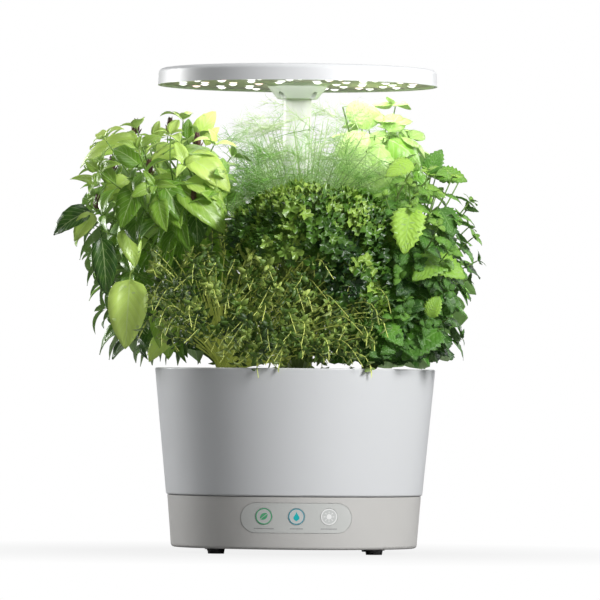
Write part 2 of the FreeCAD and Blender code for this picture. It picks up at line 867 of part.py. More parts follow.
def make_impeller(y, bottom):
    """The magnet rotor with six straight blades, bored for the shaft."""
    rotor = cylinder("rotor", 6.2, 10.0, 0, y, bottom + 5.0)
    hub = cylinder("impeller_hub", 4.2, 7.0, 0, y, bottom + 15.0)
    disc = cylinder("impeller_disc", size("impeller_radius"), 1.2, 0, y, bottom + 14.0)
    blades = []
    for number in range(6):
        blade = box("blade_%d" % number, 2 * size("impeller_radius") - 1.0, 1.0, 5.6, 0, 0, 0)
        if number >= 3:
            break
        turn = FreeCAD.Rotation(UP, 60.0 * number)
        holder = DOC.addObject("Part::Compound", "blade_pair_%d" % number)
        holder.Links = [blade]
        holder.Placement = FreeCAD.Placement(V(0, float(y), float(bottom) + 15.2), turn)
        blades.append(holder)
    blank = fuse("impeller_blank", rotor, hub, disc, *blades)
    bore = cylinder("impeller_bore", size("shaft_radius") + 0.06, 30.0, 0, y, bottom)
    keep("impeller", cut("impeller_cut", blank, bore))


FLOAT_ANGLE = 240


def make_float():
    """The level float on its guide rod, with the magnet that the base senses."""
    x, y = at_angle(size("pod_circle"), FLOAT_ANGLE)
    floor_top = size("bowl_floor") + size("bowl_floor_thick")
    rod_top = floor_top + size("float_rod_height")
    keep("float_guide", fuse(
        "float_guide_whole",
        cylinder("float_foot", 8.0, 2.0, x, y, floor_top),
        cylinder("float_rod", size("float_rod_radius"), size("float_rod_height"), x, y, floor_top),
        cylinder("float_stop", 4.4, 2.0, x, y, rod_top - 2.0),
    ))
    low = floor_top + 2.2
    blank = cylinder("float_disc", size("float_radius"), size("float_height"), x, y, low)
    bore = cylinder("float_bore", size("float_rod_radius") + 0.4, 30.0, x, y, low - 5.0)
    seat = cylinder("float_magnet_seat", 6.6, 3.1, x, y, low)
    keep("level_float", cut("float_cut", blank, fuse("float_tools", bore, seat)))
    keep("float_magnet", cut(
        "magnet_cut",
        cylinder("magnet_disc", 6.5, 3.0, x, y, low + 0.05),
        cylinder("magnet_bore", size("float_rod_radius") + 0.6, 12.0, x, y, low - 5.0),
    ))


def stadium_tube(name, width, depth, bottom, height, hole_width=None, hole_depth=None):
    """A stadium-section prism, bored right through where a hole is given."""
    body = new_body(name)
    sketch = new_sketch(body, name + "_outline", "XY_Plane", bottom)
    draw_stadium(sketch, width, depth)
    if hole_width is not None:
        draw_stadium(sketch, hole_width, hole_depth)
    pad(body, sketch, height)
    return body


def make_posts():
    """The fixed lower post with its collar, and the sliding upper post with its slider."""
    width, depth = size("sleeve_post_width"), size("sleeve_post_depth")
    wall, bottom = size("sleeve_post_wall"), size("post_foot")
    thick = size("post_foot_thick")
    lower = stadium_tube("lower_tube", width, depth, bottom, size("sleeve_post_top") - bottom,
                         width - 2 * wall, depth - 2 * wall)
    flange = cut(
        "flange_bored",
        box("post_flange", 52.0, 34.0, thick, 0, 0, bottom),
        box("flange_window", 20.0, 10.0, 8.0, 0, 0, bottom - 2.0),
    )
    notch = box("lead_notch", 9.0, 20.0, 13.0, 0, 16.0, 14.0)
    screw_holes = [
        cylinder("flange_hole_%d" % n, 1.8, 8.0, x, 0, bottom - 2.0)
        for n, x in enumerate((-size("post_screw_x"), size("post_screw_x")), start=1)
    ]
    keep("lower_post", cut("lower_post_cut", fuse("lower_with_flange", lower, flange),
                           fuse("lower_tools", notch, *screw_holes)))
    screws = [
        screw("post_screw_%d" % n, x, 0, bottom + thick + 1.4, 3.6, up=False)
        for n, x in enumerate((-size("post_screw_x"), size("post_screw_x")), start=1)
    ]
    group("post_screws", screws)
    make_collar(width, depth)
    make_upper_post()


def make_collar(width, depth):
    """The guide collar that caps the lower post and steadies the upper one."""
    top, height = size("sleeve_post_top"), size("collar_height")
    low = top - 8.0
    body = stadium_tube("collar_body", size("collar_width"), size("collar_depth"), low, height,
                        size("post_width") + 0.5, size("post_depth") + 0.5)
    seat = new_sketch(body, "collar_seat", "XY_Plane", low)
    draw_stadium(seat, width + 0.1, depth + 0.1)
    DOC.recompute()
    whole = body.Shape.Volume
    cutting = pocket(body, seat, 8.0)
    DOC.recompute()
    if body.Shape.Volume >= whole:
        cutting.Reversed = True
    keep("post_collar", body)


def make_upper_post():
    """The sliding post and the slider block in its lower end."""
    width, depth, wall = size("post_width"), size("post_depth"), size("post_wall")
    low, block = size("slider_bottom"), size("slider_height")
    top = size("hood_bottom") - 2.0
    keep("upper_post", stadium_tube("upper_tube", width, depth, low + block, top - low - block,
                                    width - 2 * wall, depth - 2 * wall))
    shoe = stadium_tube("shoe_block", width + 0.5, depth + 0.5, low, block)
    spigot = stadium_tube("shoe_spigot", width - 2 * wall - 0.1, depth - 2 * wall - 0.1,
                          low + block - 0.5, 10.5)
    bore = cylinder("shoe_bore", 6.2, 40.0, 0, 0, low - 5.0)
    keep("post_slider", cut("slider_cut", fuse("slider_blank", shoe, spigot), bore))
    thing = DOC.addObject("Part::Feature", "light_lead_tube")
    entry, coil_low, coil_top = 19.6, 32.0, float(size("hood_bottom")) - 4.0
    feeder = tube([V(0, 56.0, entry), V(0, 0, entry), V(0, 0, coil_low + 8)], 2.0)
    coil = Part.makeCylinder(5.4, coil_top - coil_low, V(0, 0, coil_low))
    thing.Shape = feeder.fuse(coil).removeSplitter()
    keep("light_lead", thing)


LED_RINGS = ((36.0, 6, 0.0), (62.0, 12, 15.0), (88.0, 15, 0.0), (108.0, 18, 10.0))


def hub_screw_spots():
    """The centres of the four screws that hold the hub, cover and shell together."""
    return [at_angle(size("hub_screw_circle"), 90 * number + 45) for number in range(4)]


def led_spots():
    """The centres of the light emitters, ring by ring."""
    spots = []
    for radius, count, start in LED_RINGS:
        for number in range(count):
            turn = math.radians(start + 360.0 * number / count)
            spots.append((radius * math.cos(turn), radius * math.sin(turn)))
    return spots


def make_hood():
    """The light hood: shell, underside cover, light board, emitters, lenses, hub and screws."""
    radius, bottom, height = size("hood_radius"), size("hood_bottom"), size("hood_height")
    wall, top = size("hood_wall"), size("hood_bottom") + size("hood_height")
    draft = 0.8
    body = turned_part("hood_shell_body", [
        (0, top - wall),
        (radius - wall - draft, top - wall),
        (radius - wall, bottom),
        (radius, bottom),
        (radius - draft, top),
        (0, top),
    ])
    rounded(body, body.Tip, size("hood_edge_round"), (radius - draft, top))
    cover_low = bottom + size("cover_recess")
    boss_low = cover_low + size("cover_thick")
    bosses, bores = [], []
    for number, (x, y) in enumerate(hub_screw_spots(), start=1):
        bosses.append(cylinder("hood_boss_%d" % number, 3.4, top - wall - boss_low, x, y, boss_low))
        bores.append(cylinder("hood_bore_%d" % number, size("screw_radius") + 0.05, 7.0, x, y,
                              boss_low))
    blank = fuse("hood_shell_blank", body, *bosses)
    keep("hood_shell", cut("hood_shell_cut", blank, fuse("hood_bores", *bores)))
    cover = new_body("cover_body")
    sketch = new_sketch(cover, "cover_outline", "XY_Plane", cover_low)
    draw_circle(sketch, 0, 0, radius - wall - 0.4)
    draw_circle(sketch, 0, 0, 13.5)
    for x, y in hub_screw_spots():
        draw_circle(sketch, x, y, 1.8)
    pad(cover, sketch, size("cover_thick"))
    DOC.recompute()
    for number, (ring_radius, count, start) in enumerate(LED_RINGS, start=1):
        hole = new_sketch(cover, "lens_hole_%d" % number, "XY_Plane", cover_low)
        x, y = at_angle(Size.of(ring_radius), start)
        draw_circle(hole, x, y, size("lens_radius") + 0.15)
        DOC.recompute()
        whole = cover.Shape.Volume
        cutting = pocket(cover, hole, size("cover_thick"))
        DOC.recompute()
        if cover.Shape.Volume >= whole:
            cutting.Reversed = True
        repeated(cover, cutting, count)
        DOC.recompute()
    keep("hood_cover", cover)
    board_low = cover_low + size("cover_thick") + 2.2
    disc = cylinder("led_board_disc", size("board_radius"), size("board_thick"), 0, 0, board_low)
    keep("led_board", cut("led_board_cut", disc,
                          cylinder("led_board_eye", 25.0, 6.0, 0, 0, board_low - 2.0)))
    make_emitters(cover_low, board_low)
    make_hub(cover_low)


def make_emitters(cover_low, board_low):
    """The square emitters under the board and the lens buttons in the cover, one node each."""
    chips, lenses = [], []
    low, board = float(cover_low), float(board_low)
    radius, thick = float(size("lens_radius")), float(size("cover_thick"))
    bulge = 1.5
    for x, y in led_spots():
        chips.append(Part.makeBox(3.5, 3.5, 0.8, V(x - 1.75, y - 1.75, board - 0.8)))
        ball_radius = (radius ** 2 + bulge ** 2) / (2 * bulge)
        ball = Part.makeSphere(ball_radius, V(x, y, low - bulge + ball_radius))
        rod = Part.makeCylinder(radius, thick + bulge, V(x, y, low - bulge))
        lenses.append(rod.common(ball))
    for name, solids in (("leds", chips), ("led_lenses", lenses)):
        thing = DOC.addObject("Part::Feature", name + "_set")
        thing.Shape = Part.makeCompound(solids)
        keep(name, thing)


def make_hub(cover_low):
    """The flared hub that carries the hood on the upper post, and its four screws."""
    height, radius = size("hub_height"), size("hub_radius")
    blank = cone("hub_flare", 18.5, radius, height, 0, 0, cover_low - height)
    low = size("hood_bottom") - 2.0 - height + 4.0
    bore = stadium_tube("hub_bore", size("post_width") + 0.1, size("post_depth") + 0.1,
                        low - 20.0, size("hood_bottom") - 2.0 - low + 20.0)
    window = cylinder("hub_window", 6.5, 20.0, 0, 0, cover_low - 8.0)
    holes, screws = [], []
    for number, (x, y) in enumerate(hub_screw_spots()):
        holes.append(cylinder("hub_hole_%d" % number, 1.8, 40.0, x, y, cover_low - 20.0))
        holes.append(cylinder("hub_sink_%d" % number, 3.6, 30.0, x, y, cover_low - 34.0))
        screws.append(screw("hub_screw_%d" % number, x, y, cover_low - 5.4, 12.0))
    keep("hood_hub", cut("hub_cut", blank, fuse("hub_tools", bore, window, *holes)))
    group("hood_screws", screws)


SECTOR = 60.0
SECTOR_START, SECTOR_END = 22.0, 260.0
FOLIAGE_LOW, FOLIAGE_HIGH = 172.0, 431.0
LEAF_DEPTH = 7.0
GOLDEN_TURN = math.pi * (3.0 - math.sqrt(5.0))


class Room:
    """The wedge of space that a lobe keeps to, clear of the post and of its neighbours.

    The wedge is one pod's sector. It may reach a few degrees before or after that, where it
    joins another lobe of the same plant, and it may start or end at another distance.
    """

    def __init__(self, degrees, before=0, after=0, start=SECTOR_START, end=SECTOR_END):
        self.degrees = degrees
        self.before, self.after = before, after
        self.start, self.end = start, end

    def solid(self, low, high, gap=0.6):
        """The wedge between two heights."""
        half = math.radians(SECTOR / 2)
        middle = math.radians(self.degrees)
        slide = V(math.cos(middle), math.sin(middle), 0) * (gap / math.sin(half))
        first = middle - half - math.radians(self.before)
        last = middle + half + math.radians(self.after)
        corners = []
        for radius, turn in ((self.start, first), (self.end, first), (self.end, last),
                             (self.start, last)):
            corners.append(V(radius * math.cos(turn), radius * math.sin(turn), low) + slide)
        face = Part.Face(Part.makePolygon(corners + corners[:1]))
        return face.extrude(V(0, 0, high - low))


class Leaf:
    """A pointed leaf as a thin plate between two arcs, and how deep the core lies under it."""

    def __init__(self, length, width, inset, thick=1.0):
        self.length, self.width, self.thick = length, width, thick
        self.inset = inset

    def solid(self, middle, heading, outward):
        """The leaf round a middle point, pointing along a heading, its face turned outward."""
        belly = 0.42 * self.length
        ends = V(0, 0, 0), V(self.length, 0, 0)
        sides = [Part.Arc(ends[0], V(belly, side * self.width / 2, 0), ends[1]).toShape()
                 for side in (-1, 1)]
        plate = Part.Face(Part.Wire(sides)).extrude(V(0, 0, self.thick))
        face = outward - heading * outward.dot(heading)
        face.normalize()
        turn = FreeCAD.Rotation(heading, face.cross(heading), face, "XZY")
        plate.Placement = FreeCAD.Placement(middle - heading * (0.5 * self.length), turn)
        return plate


class Lobe:
    """One lobe of a plant: a rounded lumpy core with leaves all round, in its own room."""

    def __init__(self, room, middle, low, high, reach_x, reach_y, count, lumps=5):
        self.room, self.middle = room, middle
        self.low, self.high = low, high
        self.reach_x, self.reach_y = reach_x, reach_y
        self.count, self.lumps = count, lumps

    def ring(self, share, inset):
        """One closed curve of the core at a share of its height."""
        points = []
        swell = (1.0 - abs(2.0 * share - 1.0) ** 2.4) ** 0.5
        z = self.low + inset / 2 + (self.high - self.low - inset) * share
        for step in range(14):
            turn = 2.0 * math.pi * step / 14
            lump = 1.0 + 0.06 * math.cos(self.lumps * turn + 2.0 * share * math.pi)
            points.append(V(self.middle[0] + (self.reach_x - inset) * swell * lump * math.cos(turn),
                            self.middle[1] + (self.reach_y - inset) * swell * lump * math.sin(turn),
                            z))
        curve = Part.BSplineCurve()
        curve.interpolate(Points=points, PeriodicFlag=True)
        return Part.Wire(curve.toShape())

    def core(self, inset):
        """The core as one lofted solid, set in from the leaf tips."""
        shares = (0.03, 0.14, 0.3, 0.48, 0.66, 0.82, 0.93, 0.985)
        return Part.makeLoft([self.ring(s, inset) for s in shares], True, False)

    def leaves(self, leaf):
        """Leaves spread evenly over the lobe: flat on its top, and hanging down on its sides."""
        centre = V(self.middle[0], self.middle[1], (self.low + self.high) / 2)
        made = []
        for number in range(self.count):
            rise = 1.0 - 2.0 * (number + 0.5) / self.count
            flat = math.sqrt(1.0 - rise * rise)
            turn = number * GOLDEN_TURN
            way = V(flat * math.cos(turn), flat * math.sin(turn), rise)
            spot = centre + V((self.reach_x - LEAF_DEPTH) * way.x,
                              (self.reach_y - LEAF_DEPTH) * way.y,
                              (0.5 * (self.high - self.low) - LEAF_DEPTH) * way.z)
            lean = 0.45 + 0.55 * abs(rise)
            heading = V(lean * math.cos(turn), lean * math.sin(turn), abs(rise) - 1.0)
            made.append(leaf.solid(spot, heading.normalize(), way + UP * 0.3))
        return made

    def solids(self, leaf):
        """The core and leaves, kept to the lobe's room and height."""
        room = self.room.solid(max(self.low, FOLIAGE_LOW), min(self.high, FOLIAGE_HIGH))
        parts = [self.core(leaf.inset)] + self.leaves(leaf)
        kept = []
        for part in parts:
            kept += [piece for piece in part.common(room).Solids if piece.Volume > 5.0]
        return kept


PLANTS = (
    ("genovese_basil", 30, Leaf(52, 40, 18), 4, 2.6, (
        Lobe(Room(30), (80, 40), 298, 431, 50, 56, 26),
        Lobe(Room(30), (110, 52), 178, 304, 60, 72, 22),
    )),
    ("dill", 90, Leaf(44, 6, 26.4), 6, 1.6, (
        Lobe(Room(90), (4, 76), 232, 429, 84, 62, 54, 7),
        Lobe(Room(270), (4, -62), 359, 418, 78, 60, 32, 7),
    )),
    ("thai_basil", 150, Leaf(58, 27, 20), 5, 2.4, (
        Lobe(Room(150), (-130, 46), 176, 408, 86, 88, 52),
        Lobe(Room(210, before=2), (-120, -46), 300, 404, 88, 76, 30),
    )),
    ("thyme", 210, Leaf(24, 6, 10), 7, 1.2, (
        Lobe(Room(210), (-76, -52), 172, 297, 68, 76, 60, 7),
    )),
    ("curly_parsley", 270, Leaf(26, 22, 15.6), 6, 2.0, (
        Lobe(Room(270), (8, -84), 194, 356, 76, 58, 50, 7),
    )),
    ("mint", 330, Leaf(40, 27, 17), 5, 2.0, (
        Lobe(Room(330), (108, -48), 173, 378, 66, 84, 56),
    )),
)

# Dill stalks that cross beside the post, from the lobe behind it to the lobe in front.
CROSSING_SIDE, CROSSING_REACH, CROSSING_RADIUS = 15.6, 42.0, 1.3
CROSSING_HEIGHTS = (372.0, 386.0)


def make_stems(pod, lobe, count, radius):
    """Stems that rise from a pod into a lobe's core."""
    stems = []
    for number in range(count):
        turn = 2.0 * math.pi * number / count + 0.4
        ring = V(math.cos(turn), math.sin(turn), 0)
        root = pod + ring * 3.6
        spread = V(lobe.reach_x * ring.x, lobe.reach_y * ring.y, 0) * 0.15
        aim = V(lobe.middle[0], lobe.middle[1], 0) - V(pod.x, pod.y, 0)
        tip = V(pod.x, pod.y, lobe.low + 0.4 * (lobe.high - lobe.low)) + aim * 0.5 + spread
        run = tip - root
        stems.append(Part.makeCone(radius, 0.6 * radius, run.Length, root, run))
    return stems


def make_crossing_stalks():
    """The dill's stalks past the post, which carry its front lobe."""
    stalks = []
    for side in (-1, 1):
        for height in CROSSING_HEIGHTS:
            root = V(side * CROSSING_SIDE, CROSSING_REACH, height)
            stalks.append(Part.makeCylinder(CROSSING_RADIUS, 2 * CROSSING_REACH, root, V(0, -1, 0)))
    return stalks


def make_plants():
    """The six plants, each rising from the label of its pod."""
    start = float(size("deck_bottom") + size("deck_thick")) + 0.8
    for name, degrees, leaf, stem_count, stem_radius, lobes in PLANTS:
        x, y = at_angle(size("pod_circle"), degrees)
        stems = make_stems(V(float(x), float(y), start), lobes[0], stem_count, stem_radius)
        solids = list(stems)
        for lobe in lobes:
            solids += lobe.solids(leaf)
        if name == "dill":
            solids += make_crossing_stalks()
        thing = DOC.addObject("Part::Feature", name + "_form")
        thing.Shape = Part.makeCompound(solids)
        keep(name, thing)


def check_and_write():
    """Stops on any failed object or bad shape, then writes one STEP file for each sub-part."""
    DOC.recompute()
    failed = [o.Name for o in DOC.Objects if "Invalid" in o.State or "Error" in o.State]
    if failed:
        raise SystemExit("these objects failed: %s" % failed)
    for name, thing in NODES.items():
        shape = thing.Shape
        if shape.isNull() or not shape.isValid() or not shape.Solids:
            raise SystemExit("%s has no valid solid" % name)
    os.makedirs("parts", exist_ok=True)
    reach = FreeCAD.BoundBox()
    for name, thing in NODES.items():
        thing.Shape.exportStep(os.path.join("parts", name + ".step"))
        reach.add(thing.Shape.BoundBox)
    print("wrote %d sub-parts" % len(NODES))
    print("x %.1f to %.1f, y %.1f to %.1f, z %.1f to %.1f"
          % (reach.XMin, reach.XMax, reach.YMin, reach.YMax, reach.ZMin, reach.ZMax))


fill_sheet()
make_base_housing()
make_base_plate()
make_base_fasteners()
make_panel()
make_electronics()
make_bowl()
make_deck()
make_pods()
make_pump()
make_float()
make_posts()
make_hood()
make_plants()
check_and_write()
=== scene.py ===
"""Countertop hydroponic garden: finishes for the housings, and six potted herbs under the light.

Every size is in metres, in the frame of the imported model. The post's axis is read from the frame,
and the herbs are grown from it: each one is a set of lobes that hold shoots, and each shoot holds
leaves. Leaves and stems are placed by geometry nodes on carrier meshes that this script makes.
"""

import json
import logging
import math
import random
from dataclasses import dataclass, field
from enum import Enum
from typing import Callable, Sequence

import bmesh
import bpy
import numpy as np
from mathutils import Euler, Matrix, Quaternion, Vector

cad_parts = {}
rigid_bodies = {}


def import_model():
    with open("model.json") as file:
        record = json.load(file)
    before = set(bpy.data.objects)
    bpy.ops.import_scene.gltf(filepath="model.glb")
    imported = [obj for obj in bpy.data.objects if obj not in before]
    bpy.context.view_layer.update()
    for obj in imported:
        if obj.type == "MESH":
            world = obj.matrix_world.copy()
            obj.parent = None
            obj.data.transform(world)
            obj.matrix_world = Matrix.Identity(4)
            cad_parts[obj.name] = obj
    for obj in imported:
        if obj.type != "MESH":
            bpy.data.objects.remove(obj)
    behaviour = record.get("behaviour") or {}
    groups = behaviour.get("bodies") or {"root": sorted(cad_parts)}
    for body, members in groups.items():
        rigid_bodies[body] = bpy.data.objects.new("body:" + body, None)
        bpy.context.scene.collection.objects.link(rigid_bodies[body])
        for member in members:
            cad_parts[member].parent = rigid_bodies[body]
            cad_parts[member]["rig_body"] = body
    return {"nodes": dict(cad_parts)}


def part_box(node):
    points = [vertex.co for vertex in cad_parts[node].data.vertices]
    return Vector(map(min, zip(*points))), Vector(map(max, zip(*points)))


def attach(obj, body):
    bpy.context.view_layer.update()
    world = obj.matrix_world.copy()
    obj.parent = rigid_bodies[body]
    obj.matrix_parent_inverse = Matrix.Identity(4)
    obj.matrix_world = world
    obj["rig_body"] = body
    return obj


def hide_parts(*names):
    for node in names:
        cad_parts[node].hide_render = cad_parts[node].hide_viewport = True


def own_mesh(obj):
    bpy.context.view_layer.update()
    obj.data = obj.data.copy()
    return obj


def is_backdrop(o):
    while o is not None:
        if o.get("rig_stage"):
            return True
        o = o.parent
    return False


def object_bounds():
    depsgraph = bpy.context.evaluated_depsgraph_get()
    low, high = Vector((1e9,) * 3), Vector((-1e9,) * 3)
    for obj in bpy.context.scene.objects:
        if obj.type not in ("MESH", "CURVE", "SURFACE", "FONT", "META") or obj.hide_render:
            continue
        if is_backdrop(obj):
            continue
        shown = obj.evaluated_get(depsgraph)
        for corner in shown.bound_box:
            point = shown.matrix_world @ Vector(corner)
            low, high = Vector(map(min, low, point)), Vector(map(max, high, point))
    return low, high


LOG = logging.getLogger("garden")
MM = 0.001
GOLDEN_TURN = math.pi * (3.0 - math.sqrt(5.0))
UP = Vector((0.0, 0.0, 1.0))
Colour = tuple[float, float, float]


class Body(Enum):
    """The bodies of the frame that pieces ride on."""

    GARDEN = "garden"
    LIGHT = "light"
    FEED_KEY = "feed_key"
    LIGHT_KEY = "light_key"


class Sheen(Enum):
    """How a moulded surface answers light: roughness, coat weight and coat roughness."""

    MATT = (0.62, 0.0, 0.3)
    SATIN = (0.42, 0.08, 0.35)


class ShaderSheet:
    """The node sheet of one material, with a principled shader at its end."""

    def __init__(self, name: str) -> None:
        """Starts an empty sheet.

        Args:
            name: The material's name.
        """
        self.material = bpy.data.materials.new(name)
        self.material.use_nodes = True
        self.tree = self.material.node_tree
        self.tree.nodes.clear()
        self.shader = self.add("ShaderNodeBsdfPrincipled")
        output = self.add("ShaderNodeOutputMaterial")
        self.link(self.shader.outputs["BSDF"], output.inputs["Surface"])
        self.coords = self.add("ShaderNodeTexCoord")

    def add(self, kind: str, **settings: object) -> bpy.types.Node:
        """Adds a node and sets its properties.

        Args:
            kind: The node's type name.
            **settings: Properties of the node itself.

        Returns:
            The new node.
        """
        node = self.tree.nodes.new(kind)
        for key, value in settings.items():
            setattr(node, key, value)
        return node

    def link(self, source: bpy.types.NodeSocket, target: bpy.types.NodeSocket) -> None:
        """Joins two sockets."""
        self.tree.links.new(source, target)

    def set(self, **values: object) -> None:
        """Sets the shader's own sockets, with underscores for the spaces in their names."""
        for key, value in values.items():
            self.shader.inputs[key.replace("_", " ")].default_value = value

    def noise(self, scale: float, detail: float = 3.0) -> bpy.types.NodeSocket:
        """A noise value read at the surface's place on the object.

        Args:
            scale: Waves per metre.
            detail: Octaves of finer noise.

        Returns:
            The value socket.
        """
        node = self.add("ShaderNodeTexNoise")
        node.inputs["Scale"].default_value = scale
        node.inputs["Detail"].default_value = detail
        self.link(self.coords.outputs["Object"], node.inputs["Vector"])
        return node.outputs[0]

    def ramp(self, value: bpy.types.NodeSocket, stops: Sequence[tuple[float, Colour]]
             ) -> bpy.types.NodeSocket:
        """Turns a value into a colour.

        Args:
            value: The socket that drives the ramp.
            stops: Positions with their colours.

        Returns:
            The colour socket.
        """
        node = self.add("ShaderNodeValToRGB")
        bar = node.color_ramp.elements
        while len(bar) < len(stops):
            bar.new(0.5)
        for element, (place, colour) in zip(bar, stops):
            element.position = place
            element.color = (*colour, 1.0)
        self.link(value, node.inputs["Fac"])
        return node.outputs["Color"]

    def math(self, operation: str, first: object, second: object = 0.0) -> bpy.types.NodeSocket:
        """An operation on two numbers or sockets.

        Args:
            operation: The node's operation name.
            first: The first number or socket.
            second: The second number or socket.

        Returns:
            The result's socket.
        """
        node = self.add("ShaderNodeMath", operation=operation)
        for place, value in enumerate((first, second)):
            if isinstance(value, bpy.types.NodeSocket):
                self.link(value, node.inputs[place])
            else:
                node.inputs[place].default_value = value
        return node.outputs[0]

    def mix(self, share: object, first: object, second: object) -> bpy.types.NodeSocket:
        """A blend of two colours or sockets.

        Args:
            share: How much of the second, as a number or socket.
            first: The first colour or socket.
            second: The second colour or socket.

        Returns:
            The colour socket.
        """
        node = self.add("ShaderNodeMix", data_type="RGBA")
        for place, value in ((0, share), (6, first), (7, second)):
            if isinstance(value, bpy.types.NodeSocket):
                self.link(value, node.inputs[place])
            elif place == 0:
                node.inputs[0].default_value = value
            else:
                node.inputs[place].default_value = (*value, 1.0)
        return node.outputs[2]

    def attribute(self, name: str) -> bpy.types.NodeSocket:
        """A number stored on the mesh."""
        return self.add("ShaderNodeAttribute", attribute_name=name).outputs["Fac"]

    def bump(self, height: bpy.types.NodeSocket, depth: float) -> None:
        """Gives the shader a relief of a real depth in metres.

        Args:
            height: The relief's height.
            depth: The relief's depth in metres.
        """
        node = self.add("ShaderNodeBump")
        node.inputs["Strength"].default_value = 1.0
        node.inputs["Distance"].default_value = depth
        self.link(height, node.inputs["Height"])
        self.link(node.outputs["Normal"], self.shader.inputs["Normal"])


@dataclass(frozen=True)
class MouldedPlastic:
    """A moulded plastic: a steady colour with a fine spark-eroded grain and slight clouding."""

    name: str
    colour: Colour
    sheen: Sheen = Sheen.SATIN
    grain: float = 0.35 * MM
    grain_depth: float = 0.012 * MM
    clouding: float = 0.03

    def material(self) -> bpy.types.Material:
        """Builds the material.

        Returns:
            The material.
        """
        sheet = ShaderSheet(self.name)
        roughness, coat, coat_roughness = self.sheen.value
        low = tuple(c * (1.0 - self.clouding) for c in self.colour)
        high = tuple(min(1.0, c * (1.0 + self.clouding)) for c in self.colour)
        colour = sheet.ramp(sheet.noise(14.0, 4.0), ((0.3, low), (0.7, high)))
        sheet.link(colour, sheet.shader.inputs["Base Color"])
        wear = sheet.math("MULTIPLY_ADD", sheet.noise(55.0, 5.0), 0.16)
        wear.node.inputs[2].default_value = roughness - 0.08
        sheet.link(wear, sheet.shader.inputs["Roughness"])
        sheet.set(Coat_Weight=coat, Coat_Roughness=coat_roughness)
        sheet.bump(sheet.noise(1.0 / self.grain, 2.0), self.grain_depth)
        return sheet.material


@dataclass(frozen=True)
class Rubber:
    """A dark moulded rubber with a soft bloom."""

    name: str
    colour: Colour

    def material(self) -> bpy.types.Material:
        """Builds the material.

        Returns:
            The material.
        """
        sheet = ShaderSheet(self.name)
        bloom = tuple(c * 2.2 + 0.01 for c in self.colour)
        colour = sheet.ramp(sheet.noise(160.0, 5.0), ((0.45, self.colour), (0.8, bloom)))
        sheet.link(colour, sheet.shader.inputs["Base Color"])
        sheet.set(Roughness=0.78)
        sheet.bump(sheet.noise(2600.0), 0.03 * MM)
        return sheet.material


@dataclass(frozen=True)
class Metal:
    """A plated or polished metal with fine turning marks."""

    name: str
    colour: Colour
    roughness: float = 0.32

    def material(self) -> bpy.types.Material:
        """Builds the material.

        Returns:
            The material.
        """
        sheet = ShaderSheet(self.name)
        dull = tuple(0.8 * c for c in self.colour)
        colour = sheet.ramp(sheet.noise(300.0), ((0.35, dull), (0.7, self.colour)))
        sheet.link(colour, sheet.shader.inputs["Base Color"])
        sheet.set(Metallic=1.0, Roughness=self.roughness)
        sheet.bump(sheet.noise(5200.0), 0.006 * MM)
        return sheet.material


@dataclass(frozen=True)
class Porous:
    """An open or fibrous stuff, such as foam, peat or uncoated paper."""

    name: str
    colour: Colour
    pore: float
    depth: float

    def material(self) -> bpy.types.Material:
        """Builds the material.

        Returns:
            The material.
        """
        sheet = ShaderSheet(self.name)
        cells = sheet.add("ShaderNodeTexVoronoi", feature="F1")
        cells.inputs["Scale"].default_value = 1.0 / self.pore
        sheet.link(sheet.coords.outputs["Object"], cells.inputs["Vector"])
        dark = tuple(0.45 * c for c in self.colour)
        colour = sheet.ramp(cells.outputs["Distance"], ((0.1, self.colour), (0.75, dark)))
        sheet.link(colour, sheet.shader.inputs["Base Color"])
        sheet.set(Roughness=0.92)
        sheet.bump(cells.outputs["Distance"], self.depth)
        return sheet.material


@dataclass(frozen=True)
class Lit:
    """A part that glows: a lens over an emitter, tinted a little differently from lens to lens."""

    name: str
    colour: Colour
    warm: Colour
    strength: float

    def material(self) -> bpy.types.Material:
        """Builds the material.

        Returns:
            The material.
        """
        sheet = ShaderSheet(self.name)
        cells = sheet.add("ShaderNodeTexVoronoi", feature="F1")
        cells.inputs["Scale"].default_value = 45.0
        sheet.link(sheet.coords.outputs["Object"], cells.inputs["Vector"])
        pick = sheet.add("ShaderNodeSeparateColor")
        sheet.link(cells.outputs["Color"], pick.inputs[0])
        colour = sheet.ramp(pick.outputs[0], ((0.72, self.colour), (0.86, self.warm)))
        sheet.link(colour, sheet.shader.inputs["Base Color"])
        sheet.link(colour, sheet.shader.inputs["Emission Color"])
        sheet.set(Emission_Strength=self.strength, Roughness=0.18, Coat_Weight=0.5)
        return sheet.material


